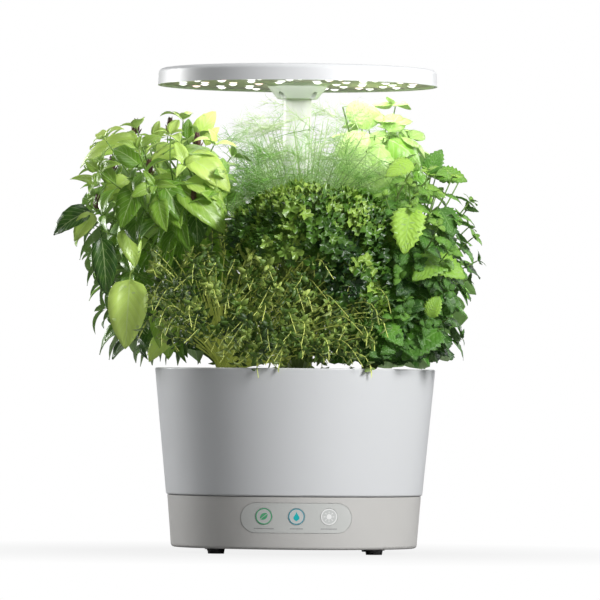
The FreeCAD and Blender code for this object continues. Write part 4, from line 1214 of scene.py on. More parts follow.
class Herb:
    """One potted herb: shoots in its lobes, with leaves and stems as separate pieces."""

    name = "herb"
    slot = "basil_leaf"
    pod_angle = 0.0
    lobes: tuple[Lobe, ...] = ()
    features: tuple[Feature, ...] = ()
    feature_length = 50.0 * MM
    fine_from = 2
    seed = 1
    stem_radius = (1.6 * MM, 0.6 * MM)
    first_leaf = 0.4

    POD_CIRCLE = 78.0
    FOOT_HEIGHT = 166.4
    FOLIAGE_LOW, FOLIAGE_HIGH = 172.0 * MM, 430.0 * MM
    POST_CLEARANCE = 20.0 * MM
    STEM_MARGIN, LEAF_MARGIN, SIDE_MARGIN = 6.0 * MM, 10.0 * MM, 6.0 * MM
    RIM_START, RIM_END = 95.0 * MM, 134.0 * MM
    POST_GIVE, TOP_GIVE, RIM_GIVE, STEM_GIVE = 0.1, 0.04, 0.05, 0.3
    LEAF_SAG, LEAF_LIFT = 0.35, 1.15
    # Painted light: a leaf's tone is paler the higher it stands under the hood's lamp and the more its
    # shoot points up; LOW_TONE is the darkest tone and TONE_SPREAD the random spread.
    LOW_TONE, TONE_BY_HEIGHT, TONE_BY_RISE, TONE_SPREAD = 0.12, 0.62, 0.16, 0.16
    SHADE_HEIGHT, SHADE_DEPTH = 0.17, 0.26
    ROOT_SPREAD, UPRIGHT_SHARE, LEAD_SHARE = 4, 0.42, 0.3
    TOWARDS_VIEWER = Vector((0.0, -0.75, 0.6))
    FEATURE_STEM = (1.1 * MM, 0.7 * MM)
    SQUASH_FOOT, SQUASH_KEEP = 168.0 * MM, 0.31

    def __init__(self, frame: Frame) -> None:
        """Finds the pod and starts the plant's carriers.

        Args:
            frame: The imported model's frame.
        """
        self.frame = frame
        self.luck = random.Random(self.seed)
        turn = math.radians(self.pod_angle)
        self.pod = frame.at(self.POD_CIRCLE * math.cos(turn), self.POD_CIRCLE * math.sin(turn),
                            self.FOOT_HEIGHT)
        self.carrier = Carrier()
        self.stems = Stems()

    def shapes(self) -> list[bpy.types.Mesh]:
        """The leaf meshes that the plant uses."""
        raise NotImplementedError

    def skin(self) -> LeafSkin:
        """The leaves' finish."""
        raise NotImplementedError

    def stem_skin(self) -> StemSkin:
        """The stems' finish."""
        return StemSkin(self.name + "_stem", (0.2, 0.34, 0.07), (0.12, 0.17, 0.05))

    def grow(self) -> None:
        """Fills the carriers: a shoot to each tip of each lobe, and the leaves that stand out."""
        for lobe in self.lobes:
            for tip, way in lobe.tips(self.frame, self.luck):
                self.shoot(tip, way)
        for feature in self.features:
            stalk, tip = self.frame.at(*feature.stalk), self.frame.at(*feature.tip)
            run = tip - stalk
            size = run.length / self.feature_length
            heading = run.normalized() + UP * 0.22
            self.carrier.add(stalk, heading, self.TOWARDS_VIEWER, size, feature.tone,
                             self.fine_from + feature.kind)
            inner = stalk.lerp(self.pod + UP * 0.6 * (stalk.z - self.pod.z), 0.45)
            path = self.around_post(bent([inner, inner.lerp(stalk, 0.5) + UP * 4 * MM, stalk], 5))
            self.stems.add(path, *self.FEATURE_STEM, 0.7)

    def around_post(self, path: list[Vector]) -> list[Vector]:
        """A path eased sideways so that it passes clear of the post.

        Args:
            path: The stem's points.

        Returns:
            The path's points.
        """
        clear = self.POST_CLEARANCE + self.STEM_MARGIN
        for spot in path:
            away = Vector((spot.x - self.frame.axis.x, spot.y))
            if away.length < clear:
                away = away.normalized() * (clear - self.STEM_GIVE * (clear - away.length))
                spot.x, spot.y = self.frame.axis.x + away.x, away.y
        return path

    def place(self, spot: Vector, heading: Vector, face: Vector, size: float, tone: float,
              kind: int) -> None:
        """Sets a leaf, lifted where it would lie on the bowl's rim, left out at the post.

        Args:
            spot: Where its stalk starts.
            heading: The way that it points.
            face: The way that its upper face looks.
            size: Its scale.
            tone: How young and well lit it is.
            kind: Which of the leaf shapes it has.
        """
        heading = heading.normalized()
        reach = size * self.feature_length
        tip = spot + heading * reach
        from_post = math.hypot(tip.x - self.frame.axis.x, tip.y)
        if from_post < self.POST_CLEARANCE + self.LEAF_MARGIN:
            return
        lowest = tip.z - self.LEAF_SAG * reach
        if lowest < self.FOLIAGE_LOW:
            heading.z += self.LEAF_LIFT * (self.FOLIAGE_LOW - lowest) / reach
        self.carrier.add(spot, heading, face, size, tone, kind)

    def brightness(self, spot: Vector, way: Vector) -> float:
        """How pale a leaf is: painted light, paler by its height under the light and by how far up its
        shoot points, with a random spread.

        Args:
            spot: Where the leaf is.
            way: The way that it points.

        Returns:
            Its tone, from about 0 to 1.
        """
        height = (spot.z - self.SHADE_HEIGHT) / self.SHADE_DEPTH
        lit = self.TONE_BY_HEIGHT * height ** 1.5 + self.TONE_BY_RISE * max(0.0, way.z)
        return self.LOW_TONE + lit + self.luck.uniform(-self.TONE_SPREAD, self.TONE_SPREAD)

    def stem_path(self, tip: Vector, way: Vector, count: int = 9) -> list[Vector]:
        """A stem's path from the pod, first upright and then out along its own way.

        Args:
            tip: Where it ends.
            way: The way that it points.
            count: How many points to give.

        Returns:
            The path's points.
        """
        spread = self.ROOT_SPREAD
        shift = Vector((self.luck.uniform(-spread, spread), self.luck.uniform(-spread, spread), 0))
        root = self.pod + shift * MM
        rise = Vector((0.0, 0.0, self.UPRIGHT_SHARE * (tip.z - root.z)))
        lead = tip - (way + UP * 0.6).normalized() * self.LEAD_SHARE * (tip - root).length
        return self.around_post(bent([root, root + rise, lead, tip], count))

    def shoot(self, tip: Vector, way: Vector) -> None:
        """Grows one stem to a tip, with its leaves."""
        raise NotImplementedError

    def build(self) -> list[bpy.types.Object]:
        """Grows the plant and hands its pieces to the frame.

        Returns:
            The leaves and the stems.
        """
        self.grow()
        made = []
        leaves = leaf_tree(self.skin().material(), self.shapes())
        made.append(leaves.grow(self.name + "_leaves", self.carrier.mesh(self.name), Size=1.0))
        stems = stem_tree(self.stem_skin().material())
        made.append(stems.grow(self.name + "_stems", self.stems.mesh(self.name), Sides=5))
        for piece in made:
            self.fit(piece)
            finished(piece, Body.GARDEN, (self.name,))
            self.bind(piece)
        return made

    def bind(self, piece: bpy.types.Object) -> None:
        """Gives a piece its own copy of its mesh."""
        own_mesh(piece)

    def fit(self, piece: bpy.types.Object) -> None:
        """Keeps foliage off the bowl, the post and the hood's underside, and inside the frame.

        Args:
            piece: A plant's piece, whose points are eased back where they reach too far.
        """
        mesh = piece.data
        spots = np.empty(len(mesh.vertices) * 3, dtype=np.float64)
        mesh.vertices.foreach_get("co", spots)
        spots = spots.reshape(-1, 3)
        centre = np.array(self.frame.axis)[:2]
        flat = spots[:, :2] - centre
        away = np.maximum(np.linalg.norm(flat, axis=1), 1e-6)
        near = away < self.POST_CLEARANCE
        spots[near, :2] = centre + flat[near] / away[near, None] * (
            self.POST_CLEARANCE + self.POST_GIVE * (away[near, None] - self.POST_CLEARANCE))
        high = spots[:, 2] > self.FOLIAGE_HIGH
        spots[high, 2] = self.FOLIAGE_HIGH + self.TOP_GIVE * (spots[high, 2] - self.FOLIAGE_HIGH)
        over_rim = (away > self.RIM_START) & (away < self.RIM_END)
        rim = over_rim & (spots[:, 2] < self.FOLIAGE_LOW)
        spots[rim, 2] = self.FOLIAGE_LOW + self.RIM_GIVE * (spots[rim, 2] - self.FOLIAGE_LOW)
        low = (away <= self.RIM_START) & (spots[:, 2] < self.FOOT_HEIGHT * MM)
        spots[low, 2] = self.FOOT_HEIGHT * MM
        for axis in (0, 1):
            least = self.frame.start_low[axis] - self.SIDE_MARGIN
            most = self.frame.start_high[axis] + self.SIDE_MARGIN
            spots[:, axis] = np.clip(spots[:, axis], least, most)
        mesh.vertices.foreach_set("co", spots.ravel())
        mesh.update()


class LeafyHerb(Herb):
    """A herb with paired leaves up its stems, each pair square to the one below."""

    pairs = 5
    leaf_kinds = 2
    tip_leaves = 4
    lean = 0.35
    reach_out = 0.4
    hang = 0.25
    smallest = 0.35

    def shoot(self, tip: Vector, way: Vector) -> None:
        """Grows one stem with its leaf pairs and the young rosette at its tip.

        Args:
            tip: Where it ends.
            way: The way that it points.
        """
        path = self.stem_path(tip, way)
        tone = self.brightness(tip, way)
        self.stems.add(path, *self.stem_radius, 0.4 + 0.5 * tone)
        turn = self.luck.uniform(0.0, math.tau)
        for pair in range(self.pairs):
            share = self.first_leaf + (1.0 - self.first_leaf) * (pair + 0.3) / self.pairs
            size = 1.0 - (1.0 - self.smallest) * (pair / self.pairs) ** 2
            self.leaf_pair(path, share, turn + pair * math.pi / 2, size, tone)
        self.rosette(path, turn, tone)

    def along(self, path: list[Vector], share: float) -> tuple[Vector, Vector]:
        """The place and heading at a share of a path.

        Args:
            path: The stem's points.
            share: How far along, from 0 to 1.

        Returns:
            The place, and the heading there.
        """
        reach = share * (len(path) - 1)
        number = min(int(reach), len(path) - 2)
        ahead = path[number + 1] - path[number]
        return path[number] + ahead * (reach - number), ahead.normalized()

    def outward(self, spot: Vector) -> Vector:
        """The level direction from the post's axis out through a point."""
        way = Vector((spot.x - self.frame.axis.x, spot.y - self.frame.axis.y, 0.0))
        return way.normalized()

    def leaf_pair(self, path: list[Vector], share: float, turn: float, size: float,
                  tone: float) -> None:
        """Two leaves opposite each other on a stem.

        Args:
            path: The stem's points.
            share: How far along, from 0 to 1.
            turn: Its turn round the stem.
            size: Its scale.
            tone: How young and well lit it is.
        """
        spot, ahead = self.along(path, share)
        across = Quaternion(ahead, turn) @ ahead.orthogonal().normalized()
        outward = self.outward(spot)
        for side in (-1.0, 1.0):
            heading = across * side + ahead * self.lean + outward * self.reach_out
            heading.z += self.luck.uniform(-0.35, 0.1) - self.hang
            face = ahead * 0.5 + UP * 0.55 + outward * 0.55
            grown = size * self.luck.uniform(0.75, 1.25)
            shade = tone * (0.55 + 0.45 * share) + self.luck.uniform(-0.2, 0.2)
            self.place(spot, heading, face, grown, shade,
                       self.luck.randrange(self.leaf_kinds))

    def rosette(self, path: list[Vector], turn: float, tone: float) -> None:
        """The small young leaves at a stem's tip.

        Args:
            path: The stem's points.
            turn: Its turn round the stem.
            tone: How young and well lit it is.
        """
        spot, ahead = self.along(path, 1.0)
        for number in range(self.tip_leaves):
            swing = Quaternion(ahead, turn + number * GOLDEN_TURN)
            across = swing @ ahead.orthogonal().normalized()
            heading = across + ahead * (0.5 + 0.25 * number)
            size = self.smallest * (1.1 - 0.16 * number)
            self.place(spot, heading, ahead, size, tone + 0.18,
                       self.luck.randrange(self.leaf_kinds))


class ThaiBasil(LeafyHerb):
    """The tall basil at the left: long pointed leaves and dark purple flower spikes."""

    name = "thai_basil"
    slot = "thai_leaf"
    pod_angle = 150.0
    seed = 11
    feature_length = 58.0 * MM
    bud_spots = ((-184, -50, 314), (-137, -58, 346), (-93, -40, 372), (-118, -30, 386),
                 (-150, 60, 388), (-172, 30, 352), (-96, -76, 318))
    bracts, bud_length, bud_radius = 22, 13 * MM, 1.6 * MM
    pairs = 4
    smallest = 0.42
    features = (
        Feature((-135, -22, 375), (-205, -26, 357), 0.85, 1),
        Feature((-181, -30, 336), (-210, -36, 345), 0.75, 1),
        Feature((-186, -44, 315), (-224, -50, 288), 0.1, 0),
        Feature((-184, -48, 313), (-204, -56, 284), 0.85, 0),
        Feature((-181, -54, 296), (-175, -62, 235), 0.1, 1),
        Feature((-153, -52, 258), (-157, -70, 186), 0.97, 0),
        Feature((-112, -40, 204), (-134, -52, 174), 0.97, 0),
        Feature((-126, -34, 232), (-118, -52, 178), 0.6, 0),
        Feature((-108, -62, 366), (-64, -76, 328), 1.0, 0),
        Feature((-145, -66, 340), (-161, -84, 296), 0.4, 0),
        Feature((-128, -70, 342), (-106, -86, 300), 0.35, 0),
        Feature((-114, -66, 338), (-70, -88, 290), 0.6, 0),
        Feature((-102, -20, 380), (-101, -22, 402), 0.4, 0),
        Feature((-94, -10, 378), (-74, -8, 411), 1.0, 0),
        Feature((-133, -20, 381), (-128, -20, 401), 0.85, 1),
        Feature((-86, -24, 373), (-72, -24, 396), 0.9, 1),
        Feature((-106, -40, 371), (-137, -48, 354), 0.95, 0),
        Feature((-152, -46, 346), (-178, -58, 318), 0.9, 0),
        Feature((-96, -50, 330), (-92, -74, 282), 0.15, 0),
        Feature((-160, -52, 300), (-150, -70, 262), 0.8, 0),
    )
    lobes = (
        Lobe((-134, 46, 304), (76, 76, 96), 40),
        Lobe((-126, -44, 350), (74, 62, 52), 21),
        Lobe((-128, 24, 232), (60, 70, 42), 14),
    )

    def shapes(self) -> list[bpy.types.Mesh]:
        """A broad and a narrow leaf, simple ones for the mass and fine ones for the features.

        Returns:
            The leaf meshes, in the order of their kinds.
        """
        found = []
        for grade, rows in (("simple", 7), ("fine", 13)):
            found += [
                LeafShape("thai_broad_" + grade, 58 * MM, 29 * MM, widest=0.38, droop=1.0,
                          fold=0.3, pucker=0.5 * MM, ripple=0.6 * MM, rows=rows, taper=1.25),
                LeafShape("thai_narrow_" + grade, 62 * MM, 22 * MM, widest=0.36, droop=1.35,
                          fold=0.38, pucker=0.4 * MM, twist=0.4, rows=rows, taper=1.35),
            ]
        return [shape.mesh() for shape in found]

    def build(self) -> list[bpy.types.Object]:
        """Grows the plant, then the dark flower buds at some of its shoot tips.

        Returns:
            The leaves, the stems and the buds.
        """
        made = super().build()
        bract = LeafShape("thai_bract", 8 * MM, 5 * MM, rows=4, columns=2, droop=-0.6,
                          cup=0.3).mesh()
        buds = Carrier()
        for spot in self.bud_spots:
            centre = self.frame.at(*spot)
            for number in range(self.bracts):
                level = number / self.bracts
                turn = number * GOLDEN_TURN
                ring = Vector((math.cos(turn), math.sin(turn), 0.0))
                place = centre + ring * self.bud_radius + UP * self.bud_length * level
                buds.add(place, ring + UP * (0.5 + level), UP, 0.95 - 0.45 * level,
                         self.luck.uniform(0.0, 1.0), 0)
        skin = LeafSkin("thai_bud", (0.05, 0.012, 0.02), (0.17, 0.05, 0.05), (0.36, 0.2, 0.1),
                        (0.2, 0.08, 0.06), (0.16, 0.08, 0.06), vein_share=0.1, glow=0.0)
        tree = leaf_tree(skin.material(), [bract])
        piece = tree.grow("thai_basil_buds", buds.mesh("thai_basil_buds"), Size=1.0)
        finished(piece, Body.GARDEN, (self.name,))
        self.bind(piece)
        return made + [piece]

    def skin(self) -> LeafSkin:
        """Deep to yellow green."""
        return LeafSkin("thai_basil_leaf", (0.025, 0.08, 0.012), (0.16, 0.34, 0.025),
                        (0.56, 0.76, 0.16), (0.6, 0.76, 0.34), (0.4, 0.52, 0.26),
                        vein_pairs=8.0, gloss=0.36, glow=0.1)


class GenoveseBasil(LeafyHerb):
    """The basil at the back right: broad leaves puffed up between their veins."""

    name = "genovese_basil"
    slot = "basil_leaf"
    pod_angle = 30.0
    seed = 23
    feature_length = 50.0 * MM
    features = (
        Feature((42, 4, 414), (84, -2, 408), 0.8, 0),
        Feature((72, -4, 388), (32, -14, 374), 1.0, 0),
        Feature((78, -10, 383), (70, -34, 336), 0.75, 0),
        Feature((80, -8, 385), (118, -20, 358), 0.55, 0),
        Feature((64, -16, 374), (46, -38, 338), 0.85, 0),
        Feature((84, -4, 388), (98, 6, 412), 0.7, 1),
        Feature((60, 0, 394), (52, -4, 424), 0.95, 1),
    )
    pairs = 4
    smallest = 0.5
    lean = 0.5
    lobes = (
        Lobe((80, 34, 362), (40, 50, 57), 18),
        Lobe((106, 54, 254), (58, 64, 64), 22),
    )

    def shapes(self) -> list[bpy.types.Mesh]:
        """Two cupped leaves, simple ones for the mass and fine ones for the features.

        Returns:
            The leaf meshes, in the order of their kinds.
        """
        found = []
        for grade, rows, columns in (("simple", 8, 4), ("fine", 13, 6)):
            found += [
                LeafShape("basil_cupped_" + grade, 52 * MM, 42 * MM, widest=0.42, droop=1.5,
                          fold=-0.1, cup=-0.5, pucker=0.8 * MM, rows=rows, columns=columns,
                          taper=0.8),
                LeafShape("basil_open_" + grade, 48 * MM, 37 * MM, widest=0.42, droop=1.1,
                          fold=0.1, cup=-0.32, pucker=0.8 * MM, rows=rows, columns=columns,
                          taper=0.85),
            ]
        return [shape.mesh() for shape in found]

    def skin(self) -> LeafSkin:
        """Fresh light green."""
        return LeafSkin("genovese_basil_leaf", (0.06, 0.2, 0.02), (0.24, 0.52, 0.05),
                        (0.6, 0.8, 0.3), (0.66, 0.8, 0.42), (0.5, 0.62, 0.35),
                        vein_pairs=6.0, gloss=0.34, glow=0.16, quilt=0.5 * MM)


class Mint(LeafyHerb):
    """The mint at the right: small toothed leaves with a netted surface."""

    name = "mint"
    slot = "mint_leaf"
    pod_angle = 330.0
    seed = 37
    feature_length = 38.0 * MM
    features = (
        Feature((120, -30, 346), (134, -34, 374), 0.5, 0),
        Feature((124, -40, 350), (155, -48, 341), 0.6, 0),
        Feature((103, -96, 322), (97, -118, 276), 0.97, 0),
        Feature((115, -92, 270), (150, -104, 250), 0.75, 0),
        Feature((140, -88, 274), (108, -112, 248), 0.7, 0),
        Feature((108, -70, 360), (82, -82, 344), 0.95, 0),
        Feature((134, -84, 208), (100, -108, 176), 0.35, 0),
        Feature((74, -90, 212), (93, -108, 190), 0.5, 0),
        Feature((128, -70, 320), (140, -92, 292), 0.35, 0),
        Feature((120, -98, 216), (128, -112, 240), 0.85, 1),
    )
    pairs = 5
    smallest = 0.34
    first_leaf = 0.3
    lobes = (
        Lobe((114, -46, 280), (61, 74, 91), 54),
        Lobe((100, -60, 212), (58, 52, 30), 17),
    )

    def shapes(self) -> list[bpy.types.Mesh]:
        """Two toothed leaves, simple ones for the mass and fine ones for the features.

        Returns:
            The leaf meshes, in the order of their kinds.
        """
        found = []
        for grade, teeth, columns in (("simple", 5, 2), ("fine", 8, 4)):
            found += [
                LeafShape("mint_broad_" + grade, 39 * MM, 26 * MM, widest=0.38, droop=0.9,
                          fold=0.14, teeth=teeth, tooth_depth=0.42, pucker=1.0 * MM,
                          rows=2 * teeth, columns=columns, taper=1.2),
                LeafShape("mint_round_" + grade, 33 * MM, 24 * MM, widest=0.4, droop=1.3,
                          fold=0.1, teeth=teeth, tooth_depth=0.4, pucker=1.0 * MM,
                          rows=2 * teeth, columns=columns, taper=1.05),
            ]
        return [shape.mesh() for shape in found]

    def skin(self) -> LeafSkin:
        """Mid green with a dull surface."""
        return LeafSkin("mint_leaf_skin", (0.018, 0.07, 0.01), (0.1, 0.28, 0.025),
                        (0.38, 0.64, 0.08), (0.34, 0.56, 0.18), (0.3, 0.44, 0.2),
                        vein_pairs=9.0, vein_share=0.3, gloss=0.52, glow=0.06, quilt=0.6 * MM)


class CurlyParsley(Herb):
    """The parsley in the middle: long stalks that end in heads of curled leaflets."""

    name = "curly_parsley"
    slot = "parsley_leaf"
    pod_angle = 270.0
    seed = 41
    stem_radius = (1.1 * MM, 0.6 * MM)
    leaflets, head_radius = 17, 15.0 * MM
    lobes = (
        Lobe((12, -80, 300), (80, 54, 42), 62),
        Lobe((52, -80, 266), (38, 44, 44), 20),
    )

    def shapes(self) -> list[bpy.types.Mesh]:
        """Three curled leaflets."""
        return [FrillShape("parsley_frill_%d" % k, 5.6 * MM, ripples=5 + k, seed=k).mesh()
                for k in range(3)]

    def skin(self) -> LeafSkin:
        """Deep bluish to bright green."""
        return LeafSkin("parsley_leaflet", (0.014, 0.05, 0.008), (0.085, 0.2, 0.02),
                        (0.4, 0.58, 0.1), (0.12, 0.3, 0.06), (0.1, 0.24, 0.06),
                        vein_pairs=3.0, vein_share=0.1, gloss=0.36, glow=0.06)

    def shoot(self, tip: Vector, way: Vector) -> None:
        """Grows one stalk with the leaflets of its head.

        Args:
            tip: Where it ends.
            way: The way that it points.
        """
        path = self.stem_path(tip, way, 7)
        tone = self.brightness(tip, way) + self.luck.uniform(-0.15, 0.3)
        self.stems.add(path, *self.stem_radius, 0.5)
        ahead = (path[-1] - path[-2]).normalized()
        for number in range(self.leaflets):
            share = number / (self.leaflets - 1)
            turn = number * GOLDEN_TURN
            across = Quaternion(ahead, turn) @ ahead.orthogonal().normalized()
            spread = self.head_radius * math.sqrt(share)
            spot = tip + across * spread - ahead * spread * self.luck.uniform(0.1, 0.7)
            heading = ahead + across * 0.9 * share + way * self.luck.uniform(0.0, 0.8)
            shade = tone + self.luck.uniform(-0.25, 0.25)
            self.carrier.add(spot, heading, across, self.luck.uniform(0.6, 1.25), shade,
                             self.luck.randrange(3))


class Thyme(Herb):
    """The thyme at the front left: wiry arching stems with tiny paired leaves."""

    name = "thyme"
    slot = "thyme_leaf"
    pod_angle = 210.0
    seed = 53
    stem_radius = (0.6 * MM, 0.4 * MM)
    leaf_nodes, bare_share, node_turn = 9, 0.46, 1.6
    swerve_reach, stem_points = 26 * MM, 13
    lobes = (
        Lobe((-74, -60, 240), (66, 66, 66), 112),
        Lobe((2, -104, 226), (70, 32, 58), 84),
        Lobe((0, -98, 194), (64, 28, 20), 34),
    )

    def shapes(self) -> list[bpy.types.Mesh]:
        """Two tiny leaves.

        Returns:
            The leaf meshes, in the order of their kinds.
        """
        return [
            LeafShape("thyme_leaf_flat", 9 * MM, 4.6 * MM, stalk=0.0, rows=3, columns=2,
                      droop=0.5, thick=0.2 * MM).mesh(),
            LeafShape("thyme_leaf_folded", 8 * MM, 3.8 * MM, stalk=0.0, rows=3, columns=2,
                      droop=0.9, fold=0.4, thick=0.2 * MM).mesh(),
        ]

    def skin(self) -> LeafSkin:
        """Olive to yellow green."""
        return LeafSkin("thyme_leaf_skin", (0.03, 0.07, 0.01), (0.13, 0.24, 0.035),
                        (0.5, 0.62, 0.14), (0.3, 0.4, 0.12), (0.24, 0.3, 0.14),
                        vein_pairs=1.0, vein_share=0.1, gloss=0.5, glow=0.05)

    def stem_skin(self) -> StemSkin:
        """Yellow-green stems with a strong painted glow, though they are no lamp."""
        return StemSkin("thyme_stem", (0.7, 0.78, 0.2), (0.32, 0.38, 0.08), glow=0.18)

    def brightness(self, spot: Vector, way: Vector) -> float:
        """Mostly dark, with stray bright sprigs at random, and paler where the shoot points up, which
        is painted light.
        """
        return 0.25 + 0.2 * max(0.0, way.z) + self.luck.choice((-0.15, 0.05, 0.2, 0.4))

    def shoot(self, tip: Vector, way: Vector) -> None:
        """Grows one wiry stem with tiny leaves along its outer half.

        Args:
            tip: Where it ends.
            way: The way that it points.
        """
        guide = self.stem_path(tip, way, 4)
        droop = Vector((way.x, way.y, -1.2)) * self.luck.uniform(6, 26) * MM
        swerve = Vector((self.luck.uniform(-1, 1), self.luck.uniform(-1, 1), 0.4))
        path = bent(guide + [tip + swerve * self.swerve_reach, tip + droop], self.stem_points)
        tone = self.brightness(tip, way)
        self.stems.add(path, *self.stem_radius, 0.25 + tone)
        for number in range(self.leaf_nodes):
            share = self.bare_share + (1.0 - self.bare_share) * number / self.leaf_nodes
            reach = share * (len(path) - 1)
            low = min(int(reach), len(path) - 2)
            ahead = path[low + 1] - path[low]
            spot = path[low] + ahead * (reach - low)
            ahead.normalize()
            across = Quaternion(ahead, number * self.node_turn) @ ahead.orthogonal().normalized()
            for side in (-1.0, 1.0):
                heading = across * side + ahead * 0.5
                self.carrier.add(spot, heading, ahead, self.luck.uniform(0.7, 1.25),
                                 tone + self.luck.uniform(-0.15, 0.2), self.luck.randrange(2))


class Dill(Herb):
    """The dill at the back: tall stalks with feathery fronds, pale under the light."""

    name = "dill"
    slot = "dill_frond"
    pod_angle = 90.0
    seed = 67
    feature_length = 42.0 * MM
    stem_radius = (0.8 * MM, 0.3 * MM)
    fronds, first_frond, frond_step = 4, 0.64, 0.12
    lobes = (
        Lobe((0, 44, 354), (80, 62, 64), 64),
        Lobe((12, -46, 362), (80, 50, 46), 62),
        Lobe((10, 56, 268), (60, 50, 44), 24),
    )

    def shapes(self) -> list[bpy.types.Mesh]:
        """Three feathery fronds."""
        return [FrondShape("dill_frond_%d" % k, 42 * MM, pairs=7, reach=0.6, seed=70 + k).mesh()
                for k in range(3)]

    def skin(self) -> LeafSkin:
        """Soft green that pales to near white at the top, where the pale tone is painted light from
        the hood's lamp.
        """
        return LeafSkin("dill_thread", (0.05, 0.24, 0.02), (0.24, 0.52, 0.08),
                        (0.66, 0.8, 0.44), (0.5, 0.6, 0.35), (0.3, 0.45, 0.2),
                        vein_pairs=1.0, vein_share=0.0, gloss=0.55, glow=0.05)

    def stem_skin(self) -> StemSkin:
        """Pale green stalks."""
        return StemSkin("dill_stem", (0.5, 0.64, 0.32), (0.2, 0.34, 0.12))

    def shoot(self, tip: Vector, way: Vector) -> None:
        """Grows one stalk with fronds round its upper part.

        Args:
            tip: Where it ends.
            way: The way that it points.
        """
        path = self.stem_path(tip, way, 8)
        tone = self.brightness(tip, way)
        self.stems.add(path, *self.stem_radius, tone)
        for number in range(self.fronds):
            share = self.first_frond + self.frond_step * number
            reach = share * (len(path) - 1)
            low = min(int(reach), len(path) - 2)
            spot = path[low].lerp(path[low + 1], reach - low)
            ahead = (path[low + 1] - path[low]).normalized()
            across = Quaternion(ahead, number * GOLDEN_TURN + tone * 9.0
                                ) @ ahead.orthogonal().normalized()
            heading = across + ahead * 0.4 - UP * self.luck.uniform(0.0, 0.5)
            self.place(spot, heading, UP + across, self.luck.uniform(0.7, 1.15),
                       tone + self.luck.uniform(-0.1, 0.15), self.luck.randrange(3))


@dataclass
class Housings:
    """The finishes of the frame's own hard parts."""

    frame: Frame

    def dress(self) -> None:
        """Gives every hard node its finish."""
        paint = self.frame.paint
        base = MouldedPlastic("base_grey", (0.585, 0.575, 0.555))
        paint(base.material(), "base_housing", "base_plate")
        panel = MouldedPlastic("panel_grey", (0.6, 0.61, 0.59))
        paint(panel.material(), "panel_plate")
        keys = MouldedPlastic("key_grey", (0.62, 0.635, 0.62), Sheen.SATIN)
        paint(keys.material(), "feed_key", "light_key", "water_lamp")
        bowl = MouldedPlastic("bowl_white", (0.7, 0.712, 0.725), Sheen.SATIN, clouding=0.004)
        paint(bowl.material(), "bowl")
        deck = MouldedPlastic("deck_white", (0.82, 0.82, 0.81))
        paint(deck.material(), "grow_deck", *["pod_basket_%d" % k for k in range(1, 7)])
        hood = MouldedPlastic("hood_white", (0.78, 0.79, 0.8), Sheen.SATIN, clouding=0.004)
        paint(hood.material(), "hood_shell", "hood_hub")
        # A mauve tint painted into the cover to cancel the green light that the leaves bounce onto it:
        # painted light, in place of the cover's own neutral pale grey.
        cover = MouldedPlastic("cover_white", (0.62, 0.54, 0.6), Sheen.MATT, clouding=0.004)
        paint(cover.material(), "hood_cover")
        post = MouldedPlastic("post_white", (0.82, 0.82, 0.81))
        paint(post.material(), "lower_post", "post_collar", "upper_post")
        self._dress_inside()

    def _dress_inside(self) -> None:
        """Gives the small and inner nodes their finishes."""
        paint = self.frame.paint
        paint(Rubber("foot_rubber", (0.1, 0.1, 0.1)).material(), "feet", "plug_seal")
        paint(Metal("screw_zinc", (0.62, 0.62, 0.6)).material(), "base_screws", "post_screws",
              "hood_screws", "impeller_shaft", "float_magnet")
        paint(MouldedPlastic("board_green", (0.02, 0.17, 0.06)).material(), "control_board",
              "driver_board")
        paint(MouldedPlastic("board_white", (0.8, 0.8, 0.79)).material(), "led_board")
        paint(MouldedPlastic("dark_moulding", (0.035, 0.035, 0.038)).material(), "tact_switches",
              "driver_parts", "power_jack", "pump_plug", "pump_housing", "pump_cover")
        paint(MouldedPlastic("lead_sheath", (0.6, 0.6, 0.58)).material(), "panel_lead",
              "pump_lead")
        paint(MouldedPlastic("natural_nylon", (0.74, 0.73, 0.68)).material(), "impeller",
              "float_guide", "post_slider")
        paint(MouldedPlastic("float_orange", (0.72, 0.2, 0.05)).material(), "level_float")
        paint(Porous("filter_foam", (0.05, 0.05, 0.055), 0.9 * MM, 0.4 * MM).material(),
              "pump_filter")
        paint(Porous("peat_sponge", (0.12, 0.075, 0.045), 1.3 * MM, 0.5 * MM).material(),
              "grow_sponges")
        paint(Porous("label_paper", (0.84, 0.84, 0.8), 0.25 * MM, 0.02 * MM).material(),
              "pod_labels")
        paint(Lit("emitter_glow", (1.0, 0.98, 0.94), (1.0, 0.9, 0.8), 1.0).material(), "leds",
              "indicator_lamps")
        paint(Lit("lens_glow", (1.0, 1.0, 1.0), (1.0, 0.72, 0.66), 1.8).material(), "led_lenses")


